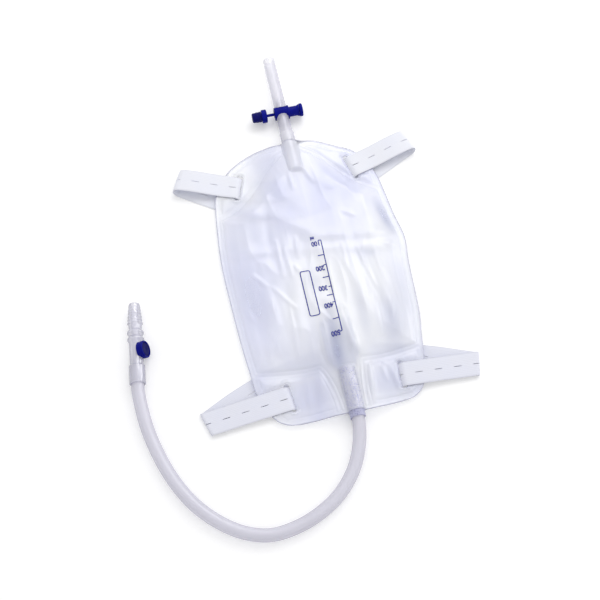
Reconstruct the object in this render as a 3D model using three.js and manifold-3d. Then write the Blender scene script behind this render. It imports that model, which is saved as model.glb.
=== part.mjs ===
// A leg-worn urine drainage bag lying flat, millimetres, +Z up.
// +Y runs from the inlet end (flat, two flaps) to the drain end (domed, tap).
// The bag is laid out about its own centre line, x = 0, and the whole is then
// moved so that the frame's origin is the middle of its footprint.
import * as THREE from 'three';
import { mergeVertices } from 'three/addons/utils/BufferGeometryUtils.js';
import Module from 'manifold-3d';

const wasm = await Module();
wasm.setup();

// Clearances
const GAP = 0.3; // between pieces that touch

// Film bag
const FILM = 0.35;
const BAG_LENGTH = 239;
const BAG_HALF_WIDTH = 73;
const FLAT_END_Y = -105;
const FLANGE = 5; // width of the weld all round
const EDGE_Z = 3.2; // height of the weld at the bag's long edges
const RIDGE_HALF_WIDTH = 26; // the weld rises to the ports over this half width
const POUCH_TOP_Z = 9.2; // front film above the table where it lies level
const POUCH_RAMP = 20; // distance from the seam over which the film rises
const SEAM_FROM_FLAT_END = 41; // flap seam
const SEAM_SLOPE = 7; // the flap seam climbs this much toward the edges
const FUNNEL_HALF_WIDTH = 7;
const FUNNEL_FLARE = 10.8;
const FUNNEL_LENGTH = 20;
const DOME_SEAL = 8; // weld at the domed end
const DOME_DROP = 54; // the dome seam falls this much toward the edges
const DOME_DROP_HALF_WIDTH = 42; // most of it over this half width
const SAG_CLEARANCE = 0.6; // the back film's lowest point above the table
const SAG_FROM_SEAM = [20, 45]; // the sag starts and is full, above the flap seam
const SAG_ENDS_Y = [38, 60];

// Share of the bag's length, then the left and right widths as shares of the half width
const SIDES = [
  [0, 0.64, 0.6],
  [0.025, 0.79, 0.71],
  [0.07, 0.9, 0.78],
  [0.13, 0.965, 0.83],
  [0.205, 0.985, 0.865],
  [0.3, 1.01, 0.915],
  [0.48, 1.035, 0.95],
  [0.575, 1.042, 0.98],
  [0.66, 1.03, 0.935],
  [0.8, 0.985, 0.88],
  [0.85, 0.95, 0.84],
  [0.89, 0.875, 0.77],
  [0.937, 0.765, 0.67],
  [0.97, 0.61, 0.475],
  [0.99, 0.465, 0.32],
  [1, 0.33, 0.17],
];

// Folds of the front film: start and end as shares of the half width and of the length, then
// height and half width
const FOLDS = [
  { from: [0, 0.146], to: [0, 0.356], height: 2.2, half: 13 },
  { from: [0.164, 0.163], to: [0, 0.385], height: 2.2, half: 6 },
  { from: [-0.411, 0.23], to: [-0.274, 0.523], height: 1.5, half: 6 },
  { from: [-0.644, 0.251], to: [-0.575, 0.49], height: 1.2, half: 6 },
  { from: [0.411, 0.222], to: [0.329, 0.54], height: 1.5, half: 6 },
  { from: [0.671, 0.264], to: [0.575, 0.502], height: 1.2, half: 6 },
  { from: [-0.959, 0.607], to: [0.904, 0.531], height: -1.2, half: 8 },
  { from: [0.11, 0.883], to: [0.356, 0.791], height: 1.2, half: 5 },
  { from: [-0.123, 0.883], to: [-0.329, 0.799], height: 1.2, half: 5 },
  { from: [-0.37, 0.732], to: [0, 0.632], height: 1, half: 6 },
  { from: [0, 0.632], to: [0.425, 0.603], height: 1, half: 6 },
  { from: [0.425, 0.607], to: [0.959, 0.586], height: 1, half: 6 },
  { from: [-0.877, 0.791], to: [-0.493, 0.741], height: 1.2, half: 6 },
];

// Ports
const INLET_PORT_R = 6;
const HOSE_R = 5;
const INLET_PORT_LENGTH = 40;
const INLET_PORT_STICKS_OUT = 5;
const OUTLET_X = -1;
const OUTLET_PORT_R = 5.85;
const OUTLET_PORT_WALL = 0.4;
const OUTLET_PORT_LENGTH = 35.4;
const OUTLET_PORT_STICKS_OUT = 9.4;
const RIDGE_COLUMNS = [12, 19, 26, 34];
const CORNER_ROWS = 7; // closer rows where the outline turns
const FRONT_ROW_STEP = 9;
const BACK_ROW_STEP = 13;
const FUNNEL_ROW = 14; // below the flap seam, across the funnel
const FILM_DIP_LENGTH = 5; // the back film climbs back from under a port's end

// Non-return valve
const LEAF_WIDTH = 24;
const LEAF_LENGTH = 42;
const LEAF_NECK_WIDTH = 14; // at the port
const LEAF_NECK_LENGTH = 10;

// Drain tap, along X, measured from the tube's centre line
const LINK_TUBE_R = 5.2;
const LINK_TUBE_BORE_R = 3.7;
const LINK_TUBE_INSERT = 15.4;
const TAP_FROM_PORT = 20.6; // from the outlet port's end to the tap's axis
const BARREL_R = 5.4;
const BARREL_LENGTH = 12.3;
const BARREL_RIM = 0.4;
const BARREL_RIM_WIDTH = 1.3;
const SLEEVE_R = 4.2;
const SLEEVE_LENGTH = 8.3;
const SLEEVE_FLARE = 0.8;
const BORE_R = 3.3;
const SEAT_DEPTH = 1.1; // round seats for the tube ends
const PASSAGE_R = 2.1;
const NIPPLE_R = 3;
const NIPPLE_WALL = 0.9;
const NIPPLE_LENGTH = 8.5;
const TRAVEL = 6.3;
const FLANGE_R = 5.6;
const FLANGE_WIDTH = 4.4;
const NECK_R = 1.2;
const KNOB_R = 4.45;
const KNOB_END_R = 4.1;
const KNOB_LENGTH = 7.6;
const KNOB_PIN_R = 2;
const KNOB_PIN_LENGTH = 4;
const END_BUTTON_R = 5.45;
const END_BUTTON_WIDTH = 2.9;
const END_PIN_R = 1.8;
const END_PIN_LENGTH = 2;
const RING_R = 2.55;
const RING_SECTION_R = 0.6;
const RING_FROM_PASSAGE = 2; // ring centre beyond the passage's edge
const FACE_SEAL_R = 3.9;
const FACE_SEAL_SECTION_R = 0.5;

// Outlet tube
const OUTLET_TUBE_R = 4.9;
const OUTLET_TUBE_BORE_R = 3.7;
const OUTLET_TUBE_LENGTH = 49.5;

// Catheter connector, along its own axis from the tip
const CONNECTOR_LENGTH = 66.4;
const CONNECTOR_BORE_R = 2.9;
const CONNECTOR_Z = 6.7;
const CUFF_R = 6.3;
const CUFF_LENGTH = 15.3;
const SOCKET_DEPTH = 14.5;
const BARB_STEPS = [
  { start: 0, end: 5.8, from: 4.1, to: 5.1 },
  { start: 5.8, end: 11.1, from: 4.7, to: 5.6 },
  { start: 11.1, end: 16.6, from: 5.1, to: 6.1 },
];
const CONNECTOR_NECK_R = 5.1;
const GRIP_RING_R = 6.6;
const GRIP_RINGS_AT = [24.4, 29.9];
const GRIP_RING_HALF = 2.7;
const CONNECTOR_BARREL_R = 5.4;
const CONNECTOR_END = { x: -156, y: -49 };
const CONNECTOR_HEADING = 83.4; // degrees from +X, from the hose to the tip
const SAMPLE_PORT_AT = 39.6; // from the tip
const SAMPLE_PORT_ROLL = 25; // degrees above the table
const SAMPLE_BOSS_R = 4.2;
const SAMPLE_BOSS_BORE_R = 1.8;
const SAMPLE_BOSS_REACH = 6; // from the barrel's axis
const COLLAR_R = 6.8;
const COLLAR_START = 4.4;
const COLLAR_LENGTH = 4.4;
const COLLAR_LIP = 1.3;
const SEPTUM_THICKNESS = 2.2;

// Hose route, chosen by hand, from inside the inlet port to inside the cuff
const HOSE_ROUTE = [
  [0, -96, 7.75],
  [0, -103, 7.75],
  [0, -110, 7.75],
  [-1, -118, 7.4],
  [-4, -130, 6.3],
  [-12, -147, 5.2],
  [-27, -164, 5.1],
  [-45, -175, 5.1],
  [-63, -181, 5.1],
  [-81, -182.5, 5.1],
  [-98, -177.5, 5.1],
  [-114, -167, 5.1],
  [-130, -150, 5.1],
  [-141.5, -130, 5.1],
  [-149.5, -108, 5.1],
  [-154.8, -84, 5.5],
  [-156.4, -66, 6.4],
  [-156.58, -54, 6.7],
  [-156, -49, 6.7],
  [-155.2, -42.1, 6.7],
  [-154.42, -35.4, 6.7],
];
const HOSE_STEPS = 50;

// Straps
const STRAP_WIDTH = 19;
const STRAP_THICKNESS = 0.8;
const SLIT_LENGTH = 6;
const SLIT_WIDTH = 0.8;
const SLIT_PITCH = 15;
const SLOT_WIDTH = 3.8;
const SLOT_SPARE = 4; // the slot is this much longer than the strap is wide
const STRAP_OVERLAP = 24; // of the buttoned ends
const BUTTONED_RUN = 40; // stretch at each end that steps over the button
const STRAP_BACK_RUN = 8; // straight run after each fold
const SLOT_RUN = 2.3; // half the length over which a strap steps through its slot
const INNER_RUN = 12.8; // from the slot until the strap lies level behind the bag
const FOLD_EASE = [4, 0.75]; // the top layer sinks from 4 mm short of the fold to this share of the reach
const BUTTON_RISE = [8, 24]; // over the button: level within the first, flat past the second
const BUTTON_STEP = 5; // stations along a strap, near the button
const SLOT_STEP = 0.8; // and through a slot
const FOLD_STEPS = 8; // and round a fold
const FOLD_MARGIN = 2;
const SHORTEST_STEP = 0.6;
const CORNERS = {
  upperLeft: { inset: 23.5, fromEnd: 30.5, heading: 161.6, reach: 51, foldTilt: 8.2, loop: 4 },
  upperRight: { inset: 29, fromEnd: 30, heading: 14.7, reach: 54.5, foldTilt: 6, loop: 4 },
  lowerLeft: { inset: 27, fromEnd: 22, heading: 186.2, reach: 66.4, foldTilt: -10.5, loop: 1.4 },
  lowerRight: { inset: 32, fromEnd: 23, heading: -3, reach: 60, foldTilt: -9.5, loop: 1.4 },
};
const UPPER_STRAP = { outerHandle: 89, innerHandle: 24, innerMiddleZ: 3.9, firstSlit: 5 };
const LOWER_STRAP = { outerHandle: 83, innerHandle: 20, innerMiddleZ: 0.4, firstSlit: 5 };
const BUTTON_R = 5.5;
const BUTTON_HEAD = 1;
const BUTTON_SHANK_R = 1.25;

// Places worked out from the sizes above
const DOME_END_Y = FLAT_END_Y + BAG_LENGTH;
const SEAM_Y = FLAT_END_Y + SEAM_FROM_FLAT_END;
const PORT_Z = STRAP_THICKNESS + GAP + FILM + GAP + INLET_PORT_R;
const INLET_END_Y = FLAT_END_Y - INLET_PORT_STICKS_OUT + INLET_PORT_LENGTH;
const OUTLET_PORT_END_Y = DOME_END_Y + OUTLET_PORT_STICKS_OUT;
const OUTLET_START_Y = OUTLET_PORT_END_Y - OUTLET_PORT_LENGTH;
const TAP_Y = OUTLET_PORT_END_Y + TAP_FROM_PORT;
const FULLNESS = new THREE.CubicInterpolant(
  SIDES.map((row) => row[0]),
  SIDES.flatMap((row) => row.slice(1)),
  2,
);

const { clamp, degToRad, lerp, smoothstep } = THREE.MathUtils;

// Colours read from the photo
const CLEAR_PVC = { color: 0xdfe1f2, roughness: 0.25, metalness: 0, transparent: true, opacity: 0.5 };
const PORT_PVC = { color: 0xb9b9dc, roughness: 0.4, metalness: 0, transparent: true, opacity: 0.7 };
const TAP_BLUE = { color: 0x0a1296, roughness: 0.25, metalness: 0 };
const NAVY = { color: 0x060a52, roughness: 0.4, metalness: 0 };
const ELASTIC = { color: 0xf1f0f6, roughness: 0.9, metalness: 0 };
const SEAL_RUBBER = { color: 0x202024, roughness: 0.8, metalness: 0 };

function named(name, geometry, look) {
  const mesh = new THREE.Mesh(geometry, new THREE.MeshStandardMaterial(look));
  mesh.name = name;
  return mesh;
}

// A closed mesh as a solid that can be joined and cut
function toSolid(geometry) {
  const bare = new THREE.BufferGeometry();
  bare.setAttribute('position', geometry.getAttribute('position').clone());
  if (geometry.index) bare.setIndex(geometry.index.clone());
  const merged = mergeVertices(bare, 1e-4);
  return new wasm.Manifold(
    new wasm.Mesh({
      numProp: 3,
      vertProperties: new Float32Array(merged.attributes.position.array),
      triVerts: new Uint32Array(merged.index.array),
    }),
  );
}

function toGeometry(solid) {
  const { vertProperties, triVerts } = solid.getMesh();
  const geometry = new THREE.BufferGeometry();
  geometry.setAttribute('position', new THREE.BufferAttribute(vertProperties, 3));
  geometry.setIndex(new THREE.BufferAttribute(triVerts, 1));
  geometry.computeVertexNormals();
  return geometry;
}

// A turned piece about Y. The profile is [radius, y] points that close on themselves
// or start and end on the axis, in the order that makes the faces point out.
function turned(profile, segments = 20) {
  const points = profile.map(([r, y]) => new THREE.Vector2(r, y));
  return new THREE.LatheGeometry(points, segments);
}

function rod(r, from, to, segments = 20) {
  return turned([[0, from], [r, from], [r, to], [0, to]], segments);
}

function pipe(r, bore, from, to, segments = 24) {
  return turned([[bore, from], [r, from], [r, to], [bore, to], [bore, from]], segments);
}

function ring(r, section) {
  return new THREE.TorusGeometry(r, section, 6, 18).rotateX(Math.PI / 2);
}

// Left and right edge of the film at a height y
function edges(y) {
  const share = clamp((y - FLAT_END_Y) / BAG_LENGTH, 0, 1);
  const [left, right] = FULLNESS.evaluate(share);
  return [-left * BAG_HALF_WIDTH, right * BAG_HALF_WIDTH];
}

// Height of the weld between the films: low at the edges, up at the ports' centre line
function weldZ(x) {
  return EDGE_Z + (PORT_Z - EDGE_Z) * Math.exp(-((x / RIDGE_HALF_WIDTH) ** 4));
}

// How far inside the pouch's seam a point lies
function seamInset(x, y) {
  const [left, right] = edges(y);
  const side = Math.min(x - left, right - x) - FLANGE;
  const drop = DOME_DROP * (1 - Math.exp(-((x / DOME_DROP_HALF_WIDTH) ** 2)));
  const dome = DOME_END_Y - DOME_SEAL - drop - y;
  const climb = SEAM_SLOPE * clamp(Math.abs(x) / BAG_HALF_WIDTH, 0, 1) ** 2;
  const flap = y - SEAM_Y - climb;
  const flare = FUNNEL_FLARE * Math.exp((y - SEAM_Y) / FUNNEL_LENGTH);
  const funnel = FUNNEL_HALF_WIDTH + flare - Math.abs(x);
  return Math.min(side, dome, Math.max(flap, funnel));
}

// 0 on the seam, 1 where the film is at its full rise
function fill(x, y) {
  const inset = clamp(seamInset(x, y) / POUCH_RAMP, 0, 1);
  return Math.sin((Math.PI / 2) * inset) * smoothstep(y, FLAT_END_Y, FLAT_END_Y + 2 * FLANGE);
}

function foldHeight(x, y) {
  let sum = 0;
  const place = (share) => [share[0] * BAG_HALF_WIDTH, FLAT_END_Y + share[1] * BAG_LENGTH];
  for (const fold of FOLDS) {
    const [fromX, fromY] = place(fold.from);
    const [toX, toY] = place(fold.to);
    const alongX = toX - fromX;
    const alongY = toY - fromY;
    const t = clamp(((x - fromX) * alongX + (y - fromY) * alongY) / (alongX ** 2 + alongY ** 2), 0, 1);
    const away = Math.hypot(x - fromX - t * alongX, y - fromY - t * alongY);
    sum += fold.height * Math.exp(-((away / fold.half) ** 2));
  }
  return sum;
}

// Height of the film's half sleeve over a port tube
function sleeveHeight(x, y, fade) {
  const inletR = INLET_PORT_R + GAP;
  const outletR = OUTLET_PORT_R + GAP;
  const inlet = Math.sqrt(Math.max(inletR ** 2 - x ** 2, 0));
  const outlet = Math.sqrt(Math.max(outletR ** 2 - (x - OUTLET_X) ** 2, 0));
  const pastInlet = clamp((y - INLET_END_Y - GAP) / fade, 0, 1);
  const pastOutlet = clamp((OUTLET_START_Y - GAP - y) / fade, 0, 1);
  return Math.max(inlet * (1 - pastInlet), outlet * (1 - pastOutlet));
}

function frontRise(x, y) {
  const inside = fill(x, y);
  const level = POUCH_TOP_Z - weldZ(x) - GAP / 2;
  const pouch = level * inside + foldHeight(x, y) * Math.min(1, 3 * inside);
  return Math.max(pouch, sleeveHeight(x, y, 1));
}

// The back film sags to the table between the two straps and lies flat elsewhere
function backDrop(x, y) {
  const [sagStart, sagFull] = SAG_FROM_SEAM.map((up) => SEAM_Y + up);
  const middle = smoothstep(y, sagStart, sagFull) * (1 - smoothstep(y, ...SAG_ENDS_Y));
  const room = weldZ(x) - GAP / 2 - FILM - SAG_CLEARANCE;
  return Math.max(room * fill(x, y) * middle, sleeveHeight(x, y, FILM_DIP_LENGTH));
}

// Numbers from the first break to the last, each stretch in equal steps
function stretches(breaks, step) {
  const values = [breaks[0]];
  for (let i = 1; i < breaks.length; i += 1) {
    const count = Math.max(1, Math.round((breaks[i] - breaks[i - 1]) / step));
    for (let k = 1; k <= count; k += 1) values.push(lerp(breaks[i - 1], breaks[i], k / count));
  }
  return values;
}

// A closed sheet from a grid of points, thickened toward one side of the grid. Each cell is
// split along its shorter diagonal, so that two films on one grid keep their clearance.
function sheetFromGrid(grid, thickness) {
  const rows = grid.length;
  const columns = grid[0].length;
  const positions = [];
  const indices = [];
  const at = (i, j) => grid[clamp(i, 0, rows - 1)][clamp(j, 0, columns - 1)];
  const normalAt = (i, j) => {
    const alongRow = at(i, j + 1).clone().sub(at(i, j - 1));
    const alongColumn = at(i + 1, j).clone().sub(at(i - 1, j));
    return alongRow.cross(alongColumn).normalize();
  };
  for (const side of [0, 1]) {
    for (let i = 0; i < rows; i += 1) {
      for (let j = 0; j < columns; j += 1) {
        const p = at(i, j).clone().addScaledVector(normalAt(i, j), side * thickness);
        positions.push(p.x, p.y, p.z);
      }
    }
  }
  const id = (side, i, j) => side * rows * columns + i * columns + j;
  const quad = (a, b, c, d) => indices.push(a, b, c, a, c, d);
  for (let i = 0; i + 1 < rows; i += 1) {
    for (let j = 0; j + 1 < columns; j += 1) {
      const corners = [[i, j], [i, j + 1], [i + 1, j + 1], [i + 1, j]];
      const [a, b, c, d] = corners.map((corner) => at(...corner));
      if (a.distanceTo(c) > b.distanceTo(d)) corners.push(corners.shift());
      const [p, q, r, s] = corners;
      quad(id(1, ...p), id(1, ...q), id(1, ...r), id(1, ...s));
      quad(id(0, ...p), id(0, ...s), id(0, ...r), id(0, ...q));
    }
  }
  for (let j = 0; j + 1 < columns; j += 1) {
    quad(id(0, 0, j), id(0, 0, j + 1), id(1, 0, j + 1), id(1, 0, j));
    quad(id(0, rows - 1, j + 1), id(0, rows - 1, j), id(1, rows - 1, j), id(1, rows - 1, j + 1));
  }
  for (let i = 0; i + 1 < rows; i += 1) {
    quad(id(0, i + 1, 0), id(0, i, 0), id(1, i, 0), id(1, i + 1, 0));
    quad(id(0, i, columns - 1), id(0, i + 1, columns - 1), id(1, i + 1, columns - 1), id(1, i, columns - 1));
  }
  const geometry = new THREE.BufferGeometry();
  geometry.setAttribute('position', new THREE.Float32BufferAttribute(positions, 3));
  geometry.setIndex(indices);
  geometry.computeVertexNormals();
  return geometry;
}

// The x values of one row of the film: round the ports, down the ridge, out to the edges.
// Where the bag is narrow the ridge's columns draw in.
function filmColumns(y) {
  const [left, right] = edges(y);
  const centre = lerp(0, OUTLET_X, clamp((y - FLAT_END_Y) / BAG_LENGTH, 0, 1));
  const sleeve = INLET_PORT_R + GAP;
  const arc = [0, 22.5, 45, 67.5, 90].map((a) => sleeve * Math.sin(degToRad(a)));
  const half = (edge) => {
    const reach = Math.abs(edge - centre);
    const last = Math.min(RIDGE_COLUMNS[RIDGE_COLUMNS.length - 1], 0.8 * reach);
    const drawIn = (last - sleeve) / (RIDGE_COLUMNS[RIDGE_COLUMNS.length - 1] - sleeve);
    const ridge = RIDGE_COLUMNS.map((o) => sleeve + (o - sleeve) * drawIn);
    const outer = [1, 2, 3].map((k) => lerp(last, reach, k / 3));
    return [...arc, ...ridge, ...outer];
  };
  const leftward = half(left).slice(1).reverse();
  return leftward.map((o) => centre - o).concat(half(right).map((o) => centre + o));
}

function slotCentre({ inset, fromEnd }, side, upper) {
  const y = upper ? DOME_END_Y - fromEnd : FLAT_END_Y + fromEnd;
  return new THREE.Vector2(side * (BAG_HALF_WIDTH - inset), y);
}

// A tall prism with round ends, set across a strap's direction
function slotPrism(corner, side, upper) {
  const half = SLOT_WIDTH / 2;
  const straight = (STRAP_WIDTH + SLOT_SPARE) / 2 - half;
  const shape = new THREE.Shape();
  shape.absarc(0, straight, half, 0, Math.PI, false);
  shape.absarc(0, -straight, half, Math.PI, 2 * Math.PI, false);
  const centre = slotCentre(corner, side, upper);
  return new THREE.ExtrudeGeometry(shape, { depth: 4 * PORT_Z, bevelEnabled: false, curveSegments: 6 })
    .rotateZ(degToRad(corner.heading))
    .translate(centre.x, centre.y, -PORT_Z);
}

function cutSlots(sheet) {
  let solid = toSolid(sheet);
  for (const upper of [true, false]) {
    const pair = upper ? [CORNERS.upperLeft, CORNERS.upperRight] : [CORNERS.lowerLeft, CORNERS.lowerRight];
    solid = solid.subtract(toSolid(slotPrism(pair[0], -1, upper)));
    solid = solid.subtract(toSolid(slotPrism(pair[1], 1, upper)));
  }
  return toGeometry(solid);
}

function filmRows(step) {
  const breaks = [
    FLAT_END_Y,
    FLAT_END_Y + CORNER_ROWS,
    FLAT_END_Y + 2 * CORNER_ROWS,
    SEAM_Y - FUNNEL_ROW,
    INLET_END_Y + GAP,
    INLET_END_Y + GAP + FILM_DIP_LENGTH,
    OUTLET_START_Y - GAP - FILM_DIP_LENGTH,
    OUTLET_START_Y - GAP,
    DOME_END_Y - 2 * CORNER_ROWS,
    DOME_END_Y - CORNER_ROWS,
    DOME_END_Y,
  ];
  return stretches(breaks, step);
}

function frontFilm() {
  const grid = filmRows(FRONT_ROW_STEP).map((y) =>
    filmColumns(y).map((x) => new THREE.Vector3(x, y, weldZ(x) + GAP / 2 + frontRise(x, y))),
  );
  return cutSlots(sheetFromGrid(grid, FILM));
}

function backFilm() {
  const grid = filmRows(BACK_ROW_STEP).map((y) =>
    filmColumns(y).map((x) => new THREE.Vector3(x, y, weldZ(x) - GAP / 2 - backDrop(x, y))),
  );
  grid.forEach((row) => row.reverse());
  return cutSlots(sheetFromGrid(grid, FILM));
}

function valveLeaf(level) {
  const half = LEAF_WIDTH / 2;
  const neck = LEAF_NECK_WIDTH / 2;
  const outline = new THREE.Shape([
    new THREE.Vector2(-neck, 0),
    new THREE.Vector2(neck, 0),
    new THREE.Vector2(half, LEAF_NECK_LENGTH),
    new THREE.Vector2(half, LEAF_LENGTH),
    new THREE.Vector2(-half, LEAF_LENGTH),
    new THREE.Vector2(-half, LEAF_NECK_LENGTH),
  ]);
  const leaf = new THREE.ExtrudeGeometry(outline, { depth: GAP, bevelEnabled: false });
  return leaf.translate(0, INLET_END_Y + GAP, PORT_Z + GAP / 2 + level * 2 * GAP);
}

function filmBag() {
  const bag = new THREE.Group();
  bag.add(named('front_film', frontFilm(), CLEAR_PVC));
  bag.add(named('back_film', backFilm(), CLEAR_PVC));
  bag.add(named('valve_back_leaf', valveLeaf(0), CLEAR_PVC));
  bag.add(named('valve_front_leaf', valveLeaf(1), CLEAR_PVC));
  const inlet = named('inlet_port', pipe(INLET_PORT_R, HOSE_R + GAP, 0, INLET_PORT_LENGTH), PORT_PVC);
  inlet.position.set(0, INLET_END_Y - INLET_PORT_LENGTH, PORT_Z);
  bag.add(inlet);
  const bore = OUTLET_PORT_R - OUTLET_PORT_WALL;
  const outlet = named('outlet_port', pipe(OUTLET_PORT_R, bore, 0, OUTLET_PORT_LENGTH), CLEAR_PVC);
  outlet.position.set(OUTLET_X, OUTLET_START_Y, PORT_Z);
  bag.add(outlet);
  return bag;
}

// The tap's housing about its own Y axis: barrel with a rim, then the flared sleeve
function tapHousing() {
  const left = -BARREL_LENGTH / 2;
  const right = BARREL_LENGTH / 2;
  const end = right + SLEEVE_LENGTH;
  const body = turned([
    [BORE_R, left],
    [BARREL_R - 0.3, left],
    [BARREL_R, left + 0.3],
    [BARREL_R, right - BARREL_RIM_WIDTH],
    [BARREL_R + BARREL_RIM, right - BARREL_RIM_WIDTH],
    [BARREL_R + BARREL_RIM, right],
    [SLEEVE_R, right],
    [SLEEVE_R, end - 2 * SLEEVE_FLARE],
    [SLEEVE_R + SLEEVE_FLARE / 3, end - SLEEVE_FLARE],
    [SLEEVE_R + SLEEVE_FLARE, end],
    [BORE_R, end],
    [BORE_R, left],
  ]);
  const passage = new THREE.CylinderGeometry(NIPPLE_R + GAP, NIPPLE_R + GAP, 4 * BARREL_R, 24).rotateZ(Math.PI / 2);
  const seat = new THREE.CylinderGeometry(LINK_TUBE_R + GAP, LINK_TUBE_R + GAP, 2 * SEAT_DEPTH, 24).rotateZ(Math.PI / 2);
  let solid = toSolid(body).subtract(toSolid(passage));
  for (const side of [-1, 1]) {
    solid = solid.subtract(toSolid(seat.clone().translate(side * BARREL_R, 0, 0)));
  }
  return toGeometry(solid);
}

// The plunger about its own Y axis, at rest with the flange out to the left
function tapPlunger() {
  const flangeRight = -BARREL_LENGTH / 2 - TRAVEL - GAP / 3;
  const flangeLeft = flangeRight - FLANGE_WIDTH;
  const land = BORE_R - GAP;
  const groove = RING_R - RING_SECTION_R - GAP / 2;
  const half = RING_SECTION_R + GAP / 2;
  const ringAt = PASSAGE_R + RING_FROM_PASSAGE;
  const tail = BARREL_LENGTH / 2 + SLEEVE_LENGTH;
  const sealIn = FACE_SEAL_R - FACE_SEAL_SECTION_R - GAP / 2;
  const sealOut = FACE_SEAL_R + FACE_SEAL_SECTION_R + GAP / 2;
  const sealDepth = 2 * FACE_SEAL_SECTION_R + GAP / 2;
  return turned([
    [0, flangeLeft - KNOB_PIN_LENGTH],
    [KNOB_PIN_R, flangeLeft - KNOB_PIN_LENGTH],
    [KNOB_PIN_R, flangeLeft],
    [FLANGE_R, flangeLeft],
    [FLANGE_R, flangeRight],
    [sealOut, flangeRight],
    [sealOut, flangeRight - sealDepth],
    [sealIn, flangeRight - sealDepth],
    [sealIn, flangeRight],
    [NECK_R, flangeRight],
    [NECK_R, -ringAt - half - GAP],
    [land, -ringAt - half - GAP],
    [land, -ringAt - half],
    [groove, -ringAt - half],
    [groove, -ringAt + half],
    [land, -ringAt + half],
    [land, ringAt - half],
    [groove, ringAt - half],
    [groove, ringAt + half],
    [land, ringAt + half],
    [land, tail],
    [END_PIN_R, tail],
    [END_PIN_R, tail + END_PIN_LENGTH],
    [0, tail + END_PIN_LENGTH],
  ]);
}

function tapKnob() {
  const right = -BARREL_LENGTH / 2 - TRAVEL - GAP / 3 - FLANGE_WIDTH - GAP;
  const left = right - KNOB_LENGTH;
  const socketEnd = right + GAP - KNOB_PIN_LENGTH - GAP;
  return turned([
    [0, left],
    [KNOB_END_R - 0.6, left],
    [KNOB_END_R, left + 0.6],
    [KNOB_R, right],
    [KNOB_PIN_R + GAP, right],
    [KNOB_PIN_R + GAP, socketEnd],
    [0, socketEnd],
  ]);
}

function tapEndButton() {
  const left = BARREL_LENGTH / 2 + SLEEVE_LENGTH + GAP;
  const right = left + END_BUTTON_WIDTH;
  const socketEnd = left - GAP + END_PIN_LENGTH + GAP;
  return turned([
    [0, socketEnd],
    [END_PIN_R + GAP, socketEnd],
    [END_PIN_R + GAP, left],
    [SLEEVE_R + SLEEVE_FLARE, left],
    [END_BUTTON_R, left + 0.8],
    [END_BUTTON_R, right - 0.4],
    [END_BUTTON_R - 0.4, right],
    [0, right],
  ]);
}

function drainTap() {
  const tap = new THREE.Group();
  tap.position.set(OUTLET_X, TAP_Y, PORT_Z);
  tap.rotation.z = -Math.PI / 2;
  tap.add(named('tap_housing', tapHousing(), TAP_BLUE));
  tap.add(named('tap_plunger', tapPlunger(), TAP_BLUE));
  tap.add(named('tap_knob', tapKnob(), NAVY));
  tap.add(named('tap_end_button', tapEndButton(), TAP_BLUE));
  const ringAt = PASSAGE_R + RING_FROM_PASSAGE;
  for (const [name, at] of [['tap_ring_inner', -ringAt], ['tap_ring_outer', ringAt]]) {
    const seal = named(name, ring(RING_R, RING_SECTION_R), SEAL_RUBBER);
    seal.position.y = at;
    tap.add(seal);
  }
  const face = named('tap_face_seal', ring(FACE_SEAL_R, FACE_SEAL_SECTION_R), SEAL_RUBBER);
  face.position.y = -BARREL_LENGTH / 2 - TRAVEL - GAP / 3 - FACE_SEAL_SECTION_R;
  tap.add(face);
  return tap;
}

// Clear tubes on the drain line, each about the line through the outlet port
function drainTubes() {
  const line = new THREE.Group();
  line.position.set(OUTLET_X, TAP_Y, PORT_Z);
  const seat = BARREL_R - SEAT_DEPTH + GAP;
  const nippleStart = BORE_R + GAP;
  const nippleBore = NIPPLE_R - NIPPLE_WALL;
  const linkStart = -TAP_FROM_PORT - LINK_TUBE_INSERT;
  line.add(named('tap_link_tube', pipe(LINK_TUBE_R, LINK_TUBE_BORE_R, linkStart, -seat), CLEAR_PVC));
  line.add(named('tap_inlet_nipple', pipe(NIPPLE_R, nippleBore, -nippleStart - NIPPLE_LENGTH, -nippleStart), CLEAR_PVC));
  line.add(named('tap_outlet_nipple', pipe(NIPPLE_R, nippleBore, nippleStart, nippleStart + NIPPLE_LENGTH), CLEAR_PVC));
  line.add(named('outlet_tube', pipe(OUTLET_TUBE_R, OUTLET_TUBE_BORE_R, seat, seat + OUTLET_TUBE_LENGTH), CLEAR_PVC));
  return line;
}

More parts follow.
